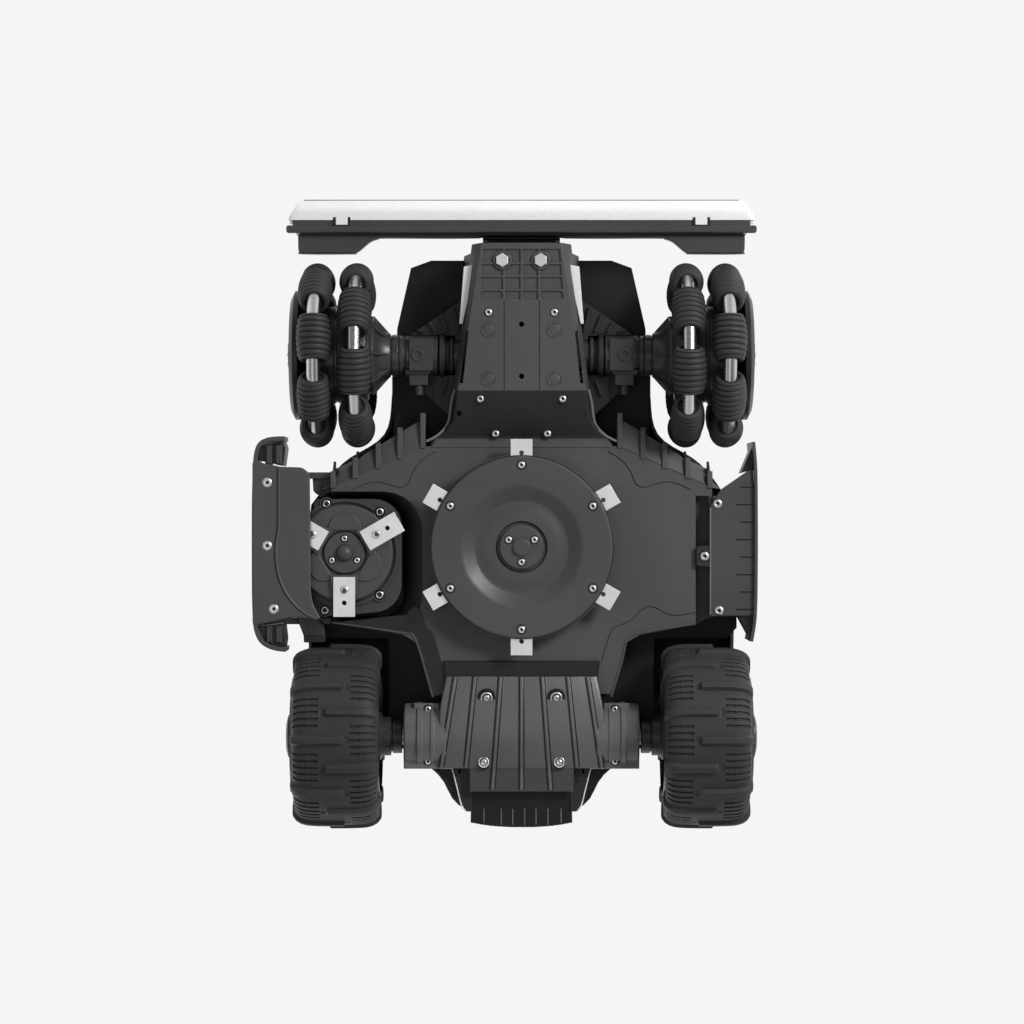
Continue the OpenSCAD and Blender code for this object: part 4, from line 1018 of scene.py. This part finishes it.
def make_skirt():
    skirt = Builder()
    path = curve([(214.9, -66), (216.9, -40), (217.35, 0), (217.35, 50), (216.4, 95), (213, 119)], 14)
    skirt.add(wall(path, -1, 3.0, 62, 132, louvred(-34, 88, 84, 124)))
    plate = [(174.7, -7), (185, -22), (214, -42), (216.2, -20), (216.2, 95), (174.7, 96)]
    skirt.add(prism(rounded(plate, 3), 66, 70, 0.8))
    skirt.add(box(177.3, 180.3, -16, 94, 68, 108))
    for y in (-12, 86):
        skirt.add(box(178, 216, y, y + 4, 96, 108))
    skirt.add(prism(rounded([(162, 31), (178, 29), (178, 51), (162, 49)], 2), 66.5, 70, 0.6), slot=2)
    # a pale strip along the plate's inner edge paints the highlight on that edge
    skirt.add(box(174.5, 175.6, -5, 94, 65.6, 68, 0.2), slot=3)
    for gusset in ([(203.6, -37.2), (214.6, -63), (214.6, -40)],
                   [(201, 95.5), (214.6, 95.5), (212.2, 116.4)]):
        skirt.add(prism(gusset, 70, 104), slot=1)
    for k in range(8):
        y = -26 + k * 16.2
        x0 = 199 if k % 2 else 203
        skirt.add(box(x0, 214.5, y, y + 1.6, 65.2, 68, 0.3))
        # a thin black strip behind each rib paints its shadow
        skirt.add(box(x0, 214.5, y + 1.7, y + 2.6, 65.9, 66.2, 0.0), slot=1)
    skirt.piece("skirt_panel", ["skirt", "black", "beam", "panel"], "chassis", "skirt_plastic",
                ["side_skirt"])


def make_guard():
    guard = Builder()
    path = curve([(-218, -68.6), (-226, -68.4), (-233, -67.4), (-239, -64.6), (-242.6, -59), (-244.6, -48),
                  (-245.5, -24), (-245.85, 0), (-245.85, 60), (-245.5, 84), (-244.6, 102), (-242.6, 111),
                  (-239, 117.6), (-233, 122), (-226, 124.4), (-217, 125.6)], 7)
    guard.add(wall(path, 1, 4.0, 38.6, 92, louvred(-40, 96, 50, 86, 9.0)))
    plate = [(-247.3, -48), (-221, -42.6), (-209, -42.2), (-201.5, -42), (-194.6, -36.4), (-193.6, 73),
             (-191.4, 84), (-184, 98), (-193, 97), (-209, 95.6), (-247.1, 103.6)]
    guard.add(prism(rounded(plate, 3.5), 38, 41.5, 1.0, 0.4))
    groove = curve([(-223, -41.4, 38), (-223, -10, 38), (-223.2, 14, 38), (-225.2, 26, 38), (-225.6, 38, 38),
                    (-224.6, 50, 38), (-221.6, 62, 38), (-216, 74, 38), (-207.6, 85, 38), (-197, 93.4, 38),
                    (-188, 97.4, 38)], 5)
    guard.add(sweep(groove, [(-1.1, 0.4), (-0.7, -0.7), (0.1, -0.9), (1.1, 0.4)]))
    # a black strip beside the groove's ridge paints its shadow
    guard.add(sweep(groove - np.array([1.5, 0, 0]), mirrored([(0.5, 0.4), (0.5, -0.12)])), slot=1)
    for cap in ([(-244.6, -49), (-243, -60), (-239, -64.6), (-231, -66.6), (-220, -68.4), (-217.2, -60),
                 (-219.6, -43.4)],
                [(-244.6, 104), (-243, 112), (-239.6, 119.4), (-231, 123), (-219, 125.4), (-217.6, 116.4),
                 (-219.3, 101.6), (-234, 103.4)]):
        guard.add(prism(rounded(cap, 1.5), 44.5, 90, 0.8), slot=1)
    for x in (-235.6, -226.7):
        for z, ys in ((40.4, (-62.6, -63.4, -43.6, -44.6)), (41.4, (104.6, 103.4, 120.6, 119.6))):
            corners = zip((x, x + 6.2, x + 6.2, x), ys)
            guard.add(prism(rounded(list(corners), 1.6), z, 60, 1.6))
    guard.add(prism([(-243, -64), (-221, -69.4), (-221, -66), (-241, -61)], 40.2, 46, 0.8))
    for y in (-38, 97.5):
        guard.add(box(-245, -177.3, y, y + 6, 80, 92))
    web = [(-195, -36.6), (-178, -36.6), (-177, -20), (-186, -14), (-194, -20)]
    guard.add(prism(rounded(web, 2), 83, 88, 0.8))
    arm = [(-209.6, 96), (-202.6, 114), (-202.4, 120.4), (-182.4, 120.4), (-183.4, 104.4), (-193.4, 94)]
    guard.add(prism(rounded(arm, 1.5), 76, 90, 1.0))
    guard.add(box(-201.8, -183, 114, 120.2, 75.2, 77, 0.2), slot=1)
    guard.piece("edge_guard_panel", ["guard", "black"], "chassis", "skirt_plastic", ["edge_guard"])


make_skirt()
make_guard()

# ---------------------------------------------------------------- edge cutter

def make_edge_details():
    """Three raised fields on the edge disc, with its inner and outer screws."""
    cutter = Builder()
    field = prism(rounded([(20.6, -17), (30, -13.6), (36.6, -7.6), (36.6, 7.6), (30, 13.6), (20.6, 17)], 4),
                  47.6, 49.4, 0.9)
    for degrees in (-90, 30, 150):
        cutter.add(field, at(*EDGE, 0, rz=degrees), 2)
        add_screw(cutter.add, (*on_circle(13.4, degrees, EDGE), 48.4), 3.0, 1.6, 3.9)
        add_screw(cutter.add, (*on_circle(33.8, degrees + 180, EDGE), 44.4), 3.7, 1.3, 0)
    cutter.piece("edge_disc_details", ["screw", "black", "disc"], "trim_disc", "screw_steel")


# ---------------------------------------------------------------- wheel wells and front slope

SLOPE_LOW = ((88.7, -63.4), (133, -43.4), (178, -23.4))
SLOPE_HIGH = ((95.0, -85.6), (146.0, -54.8), (186.0, -22.0))
FINS = ((91.5, -93.0, -61.5), (112.9, -79.5, -51.6), (133.1, -65.3, -42.5), (154.5, -51.8, -33.3),
        (175.1, -39.0, -24.4))          # x, and y of the front and the rear end


def make_wells():
    wells = Builder()
    front = curve([(-107.4, 94), (-98, 86), (-92, 96), (-87.4, 106), (-81.2, 113.8), (-75, 136.4),
                   (-72.1, 153), (-70, 168)], 5)
    lip = curve([(-176, 101.6), (-140, 106.6), (-108, 111.4), (-101.2, 113), (-97.3, 120.5), (-93, 133),
                 (-82.5, 170.8)], 5)
    # a black band on the left, between the well's lip and the axle cover, paints the shadow that falls on
    # the deck there
    wells.add(prism(np.concatenate([front, lip[::-1]]), 71.4, 73, 0.3), slot=1)
    right = curve([(161.7, 102.7), (130, 107.8), (110, 111.4), (103.1, 112.9), (97.7, 117.6), (93.6, 136.4),
                   (83.3, 170.8)], 5)
    for line in (lip, right):
        wells.add(sweep([(x, y, 72.0) for x, y in line], mirrored([(1.0, 0.6), (0.8, -0.8)])))
    for sign in (1, -1):
        wells.add(loft([[(sign * a, b, 71.6), (sign * c, d, 76), (sign * c, d, 79), (sign * a, b, 75)]
                        for (a, b), (c, d) in zip(SLOPE_LOW, SLOPE_HIGH)]))
    for x, y0, y1 in FINS:
        fin = [(y1 + 1, 70.6), (y1 - 3, 70.7), (y0 + 2, 71.4), (y0, 72.6), (y0, 84), (y1 + 1, 78)]
        shadow = [(y1 - 2, 71.3), (y0 + 5, 72.4), (y0 + 5, 75), (y1 - 2, 73)]
        for middle in (x, -x):
            wells.add(slab(fin, middle - 2.3, middle + 2.3))
            wells.add(slab(shadow, middle - 3.1, middle - 2.2), slot=1)
    wells.piece("wheel_well_lips", ["deck", "black"], "chassis", "deck_plastic")


make_edge_details()
make_wells()

# ---------------------------------------------------------------- upper shell

SHELL = [(40, -244), (85, -240), (104, -232), (118, -174), (124, -120), (132, -76), (172, -48), (198, -12),
         (205, 30), (205, 110), (202, 160), (188, 188), (152, 204), (120, 220), (80, 252), (50, 286)]
TUB = [(85, -238), (104, -231), (117, -174), (121, -68), (172, -42), (198, -8), (203, 30), (203, 108),
       (194, 118), (125, 118), (125, 214), (76, 244), (50, 262)]
BUTTON = at(0, 120, 0)
TURRET = at(0, -150, 0)
# degrees from the rim to the crown, how far the shell is sunk there, and the material of the strip above
LEVELS = ([(a, 0, 0) for a in (0, 2, 5, 9, 14, 19, 24, 29)]
          + [(34, 0, 1), (35, 0.2, 1), (35.4, 1.8, 1), (36.6, 1.8, 1), (37, 0.2, 1), (38, 0, 0)]
          + [(a, 0, 0) for a in (42, 46, 50, 54)]
          + [(58, 0, 1), (58.8, 0.2, 1), (59.1, 1.6, 1), (60.1, 1.6, 1), (60.4, 0.2, 1), (61.2, 0, 2)]
          + [(a, 0, 2) for a in (64, 67, 70, 73, 76, 79, 81.5, 84, 86, 87.6, 88.8)])
INSIDE = [(a, 0, 0) for a in (88.8, 84, 76, 66, 52, 36, 20, 8, 0)]


def closed_curve(points, steps):
    p = [tuple(q) for q in points]
    whole = curve(p[-2:] + p + p[:2], steps)
    return whole[2 * steps:-(1 + steps)]


def shell_rings(thick, levels):
    rim = closed_curve(inset(mirrored(SHELL), thick + 0.4), 5)
    bearing = np.arctan2(rim[:, 1], rim[:, 0])
    oval = 1 / np.sqrt((np.cos(bearing) / (172 - thick)) ** 2 + (np.sin(bearing) / (252 - thick)) ** 2)
    oval = np.column_stack([oval * np.cos(bearing), oval * np.sin(bearing)])
    rings = []
    for a, drop, _ in levels:
        across, up = math.cos(math.radians(a)) ** 0.62, math.sin(math.radians(a)) ** 0.75
        ring = (rim + (oval - rim) * float(step(up, 0.3, 0.95))) * across
        z = 180 + (58 - thick) * up * (1 - 0.16 * (ring[:, 1] / 288) ** 2 * up) - drop
        rings.append(np.column_stack([ring, z]))
    return rings


def make_shell():
    """The shell's body, with a well for the stop button. Returns its surface, for what lies on it."""
    rings = [[(0, 0, 235.0)]] + shell_rings(3.0, INSIDE) + shell_rings(0.0, LEVELS) + [[(0, 0, 238.0)]]
    solid = loft(rings, "open")
    strips = [0] + [slot for _, _, slot in INSIDE + LEVELS]
    slots = [slot for slot in strips for _ in rings[1]]
    shell, well = Builder(), Builder()
    shell.add(solid, slot=slots)
    well.add(lathe([(0, 225), (24, 225), (24, 260), (0, 260)], 64), BUTTON)
    shell.piece("upper_shell_body", ["shell", "black", "panel"], "chassis", "shell_plastic", ["upper_shell"],
                34, well)
    return BVHTree.FromPolygons([Vector(v) for v in solid[0]], solid[1])


def drape(surface, points, section):
    """A section carried over the shell along points in plan."""
    down = Vector((0, 0, -1))
    return sweep([(x, y, surface.ray_cast(Vector((x, y, 300)), down)[0].z) for x, y in points], section)


def add_fittings(top):
    """The button's collar, the sensor turret, the key pad and the front sensors."""
    top.add(lathe([(21.5, 221), (21.5, 239.6), (22.3, 240.6), (25.6, 240.6), (27.6, 239.4), (29.6, 236.6),
                   (30.4, 234.8), (30.4, 221), (21.5, 221)], 80), BUTTON, 1)
    top.add(lathe([(0, 221), (24, 221), (24, 223.5), (0, 223.5)], 48), BUTTON, 1)
    top.add(lathe([(0, 220), (41, 220), (41, 236.4), (40, 238.4), (37.6, 240.4), (35.6, 243), (34.6, 246.4),
                   (33.9, 246.4), (33.9, 247.6), (33.2, 247.6), (33.2, 268.6), (33.9, 268.6), (33.9, 269.8),
                   (34.8, 269.8), (36, 271.2), (36, 279), (35.2, 281.4), (33, 283.4), (29.6, 284.5),
                   (22, 284.9), (21.4, 284.3), (20.4, 284.3), (19.8, 284.9), (0, 284.9)], 96), TURRET, 1)
    top.add(lathe([(33.25, 248.2), (33.8, 248.2), (33.8, 268.0), (33.25, 268.0), (33.25, 248.2)], 96),
            TURRET, 3)
    # the pad, its display, its lamp and four keys: x, y, z, corner radius and steps, chamfer, material
    fields = [(-56, 56, -62, 66, 234, 239.2, 14, 8, 1.2, 0), (-44, 44, -50, 0, 236, 239.6, 8, 8, 0.3, 1),
              (-16, 16, 52, 60, 236, 239.7, 4, 6, 0.4, 1)]
    fields += [(x - 8, x + 8, 20, 34, 236, 240.1, 5, 6, 0.7, 1) for x in (-34.5, -11.5, 11.5, 34.5)]
    for x0, x1, y0, y1, z0, z1, corner, steps, chamfer, slot in fields:
        outline = rounded([(x0, y0), (x1, y0), (x1, y1), (x0, y1)], corner, steps)
        top.add(prism(outline, z0, z1, 0, chamfer), slot=slot)
    top.add(box(-62, 62, -240.6, -236, 152, 170, 0.8), slot=1)
    for x in (-40, 0, 40):
        eye = at(x, -240.4, 161, rx=90)
        top.add(lathe([(0, 0), (7.4, 0), (7.4, 1.6), (6.6, 2.2), (5.8, 2.2), (5.4, 1.2), (0, 1.2)], 40), eye)
        top.add(lathe([(0, 1.0), (5.3, 1.0), (4.8, 1.9), (3, 2.4), (0, 2.6)], 40), eye, 3)


def add_vents(top, surface):
    """Slanted slots with raised lips on the rear quarters, a groove along each flank, and side louvres."""
    for k in range(7):
        line = [(x, 138 + 8 * k + (x - 66) * 0.16) for x in np.linspace(66, 126 - 3.2 * k, 12)]
        top.both(drape(surface, line, mirrored([(1.7, -1.5), (1.7, 0.15)])), slot=1)
        top.both(drape(surface, [(x, y - 2.0) for x, y in line],
                       [(-0.9, -1.0), (-0.6, 0.8), (0.5, 0.9), (0.9, -1.0)]))
    line = curve([(66, -205), (84, -160), (92, -100), (104, -40), (122, 20), (126, 90), (112, 150)], 8)
    top.both(drape(surface, line, mirrored([(0.7, -1.0), (0.7, 0.12)])), slot=1)
    for z in range(134, 169, 7):
        top.both(box(201.5, 204.2, 46, 98, z, z + 2.6, 0.5), slot=1)
        top.both(box(118, 122.4, -150, -96, z, z + 2.6, 0.5), slot=1)


def make_top():
    surface = make_shell()
    top = Builder()
    add_fittings(top)
    add_vents(top, surface)
    top.add(prism(inset(mirrored(TUB), -1.2), 171, 179.6, 0.8, 0.4))
    top.piece("top_details", ["shell", "black", "panel", "lens"], "chassis", "shell_plastic")


make_top()

# ---------------------------------------------------------------- camera, light and floor

SKY = ((0.0, 0.13), (0.2, 0.2), (0.44, 0.75), (0.55, 0.95), (1.0, 0.72))       # height and brightness
BACKDROP = 0.915


def make_world():
    """A graded sky lights the machine, and the camera sees a plain pale backdrop."""
    world = bpy.data.worlds.new("studio")
    bpy.context.scene.world = world
    world.use_nodes = True
    world.node_tree.nodes.clear()
    w = Nodes(world.node_tree)
    direction = w.node("TexCoord").outputs["Generated"]
    up = w.node("SeparateXYZ", {0: direction}).outputs[2]
    height = w.node("MapRange", {"Value": up, "From Min": -1.0}).outputs[0]
    ramp = w.node("ValToRGB", {0: height})
    while len(ramp.color_ramp.elements) < len(SKY):
        ramp.color_ramp.elements.new(0.5)
    for stop, (place, level) in zip(ramp.color_ramp.elements, SKY):
        stop.position = place
        stop.color = (level, level, level, 1)
    ambient = w.node("Background", {"Color": ramp.outputs[0], "Strength": 1.35}).outputs[0]
    shown = w.node("Background", {"Color": (1, 1, 1, 1), "Strength": BACKDROP}).outputs[0]
    seen = w.node("LightPath").outputs["Is Camera Ray"]
    w.node("OutputWorld", {"Surface": w.node("MixShader", {0: seen, 1: ambient, 2: shown}).outputs[0]})


def area_light(name, place, target_z, size, power):
    """A disc lamp that faces the machine's axis at a height."""
    light = bpy.data.lights.new(name, "AREA")
    light.shape = "DISK"
    light.size = size
    light.energy = power
    obj = link(bpy.data.objects.new(name, light))
    obj.location = place
    obj.rotation_euler = (Vector((0, 0, target_z)) - Vector(place)).to_track_quat("-Z", "Y").to_euler()


def make_floor():
    """A pale floor that can't be seen from below and throws no shade or light on the machine."""
    s = Shader("floor")
    s.feed(s.bsdf, {"Base Color": (0.66, 0.66, 0.657, 1), "Roughness": 0.75})
    below = s.node("NewGeometry").outputs["Backfacing"]
    clear = s.node("BsdfTransparent").outputs[0]
    both = s.node("MixShader", {0: below, 1: s.bsdf.outputs[0], 2: clear}).outputs[0]
    s.feed(s.tree.nodes["Material Output"], {"Surface": both})
    mesh = bpy.data.meshes.new("floor")
    mesh.from_pydata([(-6, -6, 0), (6, -6, 0), (6, 6, 0), (-6, 6, 0)], [], [(0, 1, 2, 3)])
    mesh.materials.append(s.mat)
    floor = link(bpy.data.objects.new("floor", mesh))
    floor.visible_shadow = False
    floor.visible_diffuse = False
    floor.visible_glossy = False


def make_camera():
    """Straight below the machine, with the front at the top of the picture."""
    camera = bpy.data.cameras.new("camera")
    camera.lens = 114.6
    camera.sensor_width = 36
    obj = link(bpy.data.objects.new("camera", camera))
    obj.location = (0.0057, -0.001, -2.955)
    obj.rotation_euler = (math.pi, 0, 0)
    bpy.context.scene.camera = obj
    bpy.context.scene.view_settings.view_transform = "Standard"


make_world()
area_light("key_below", (1.5, -1.1, -1.5), 0.08, 0.7, 50)
area_light("fill_below", (-0.5, 0.3, -2.6), 0.08, 2.0, 9)
area_light("key_above", (1.2, -1.6, 2.0), 0.1, 1.0, 7)
area_light("rim_above", (-1.6, 1.4, 1.5), 0.1, 1.0, 9)
make_floor()
make_camera()
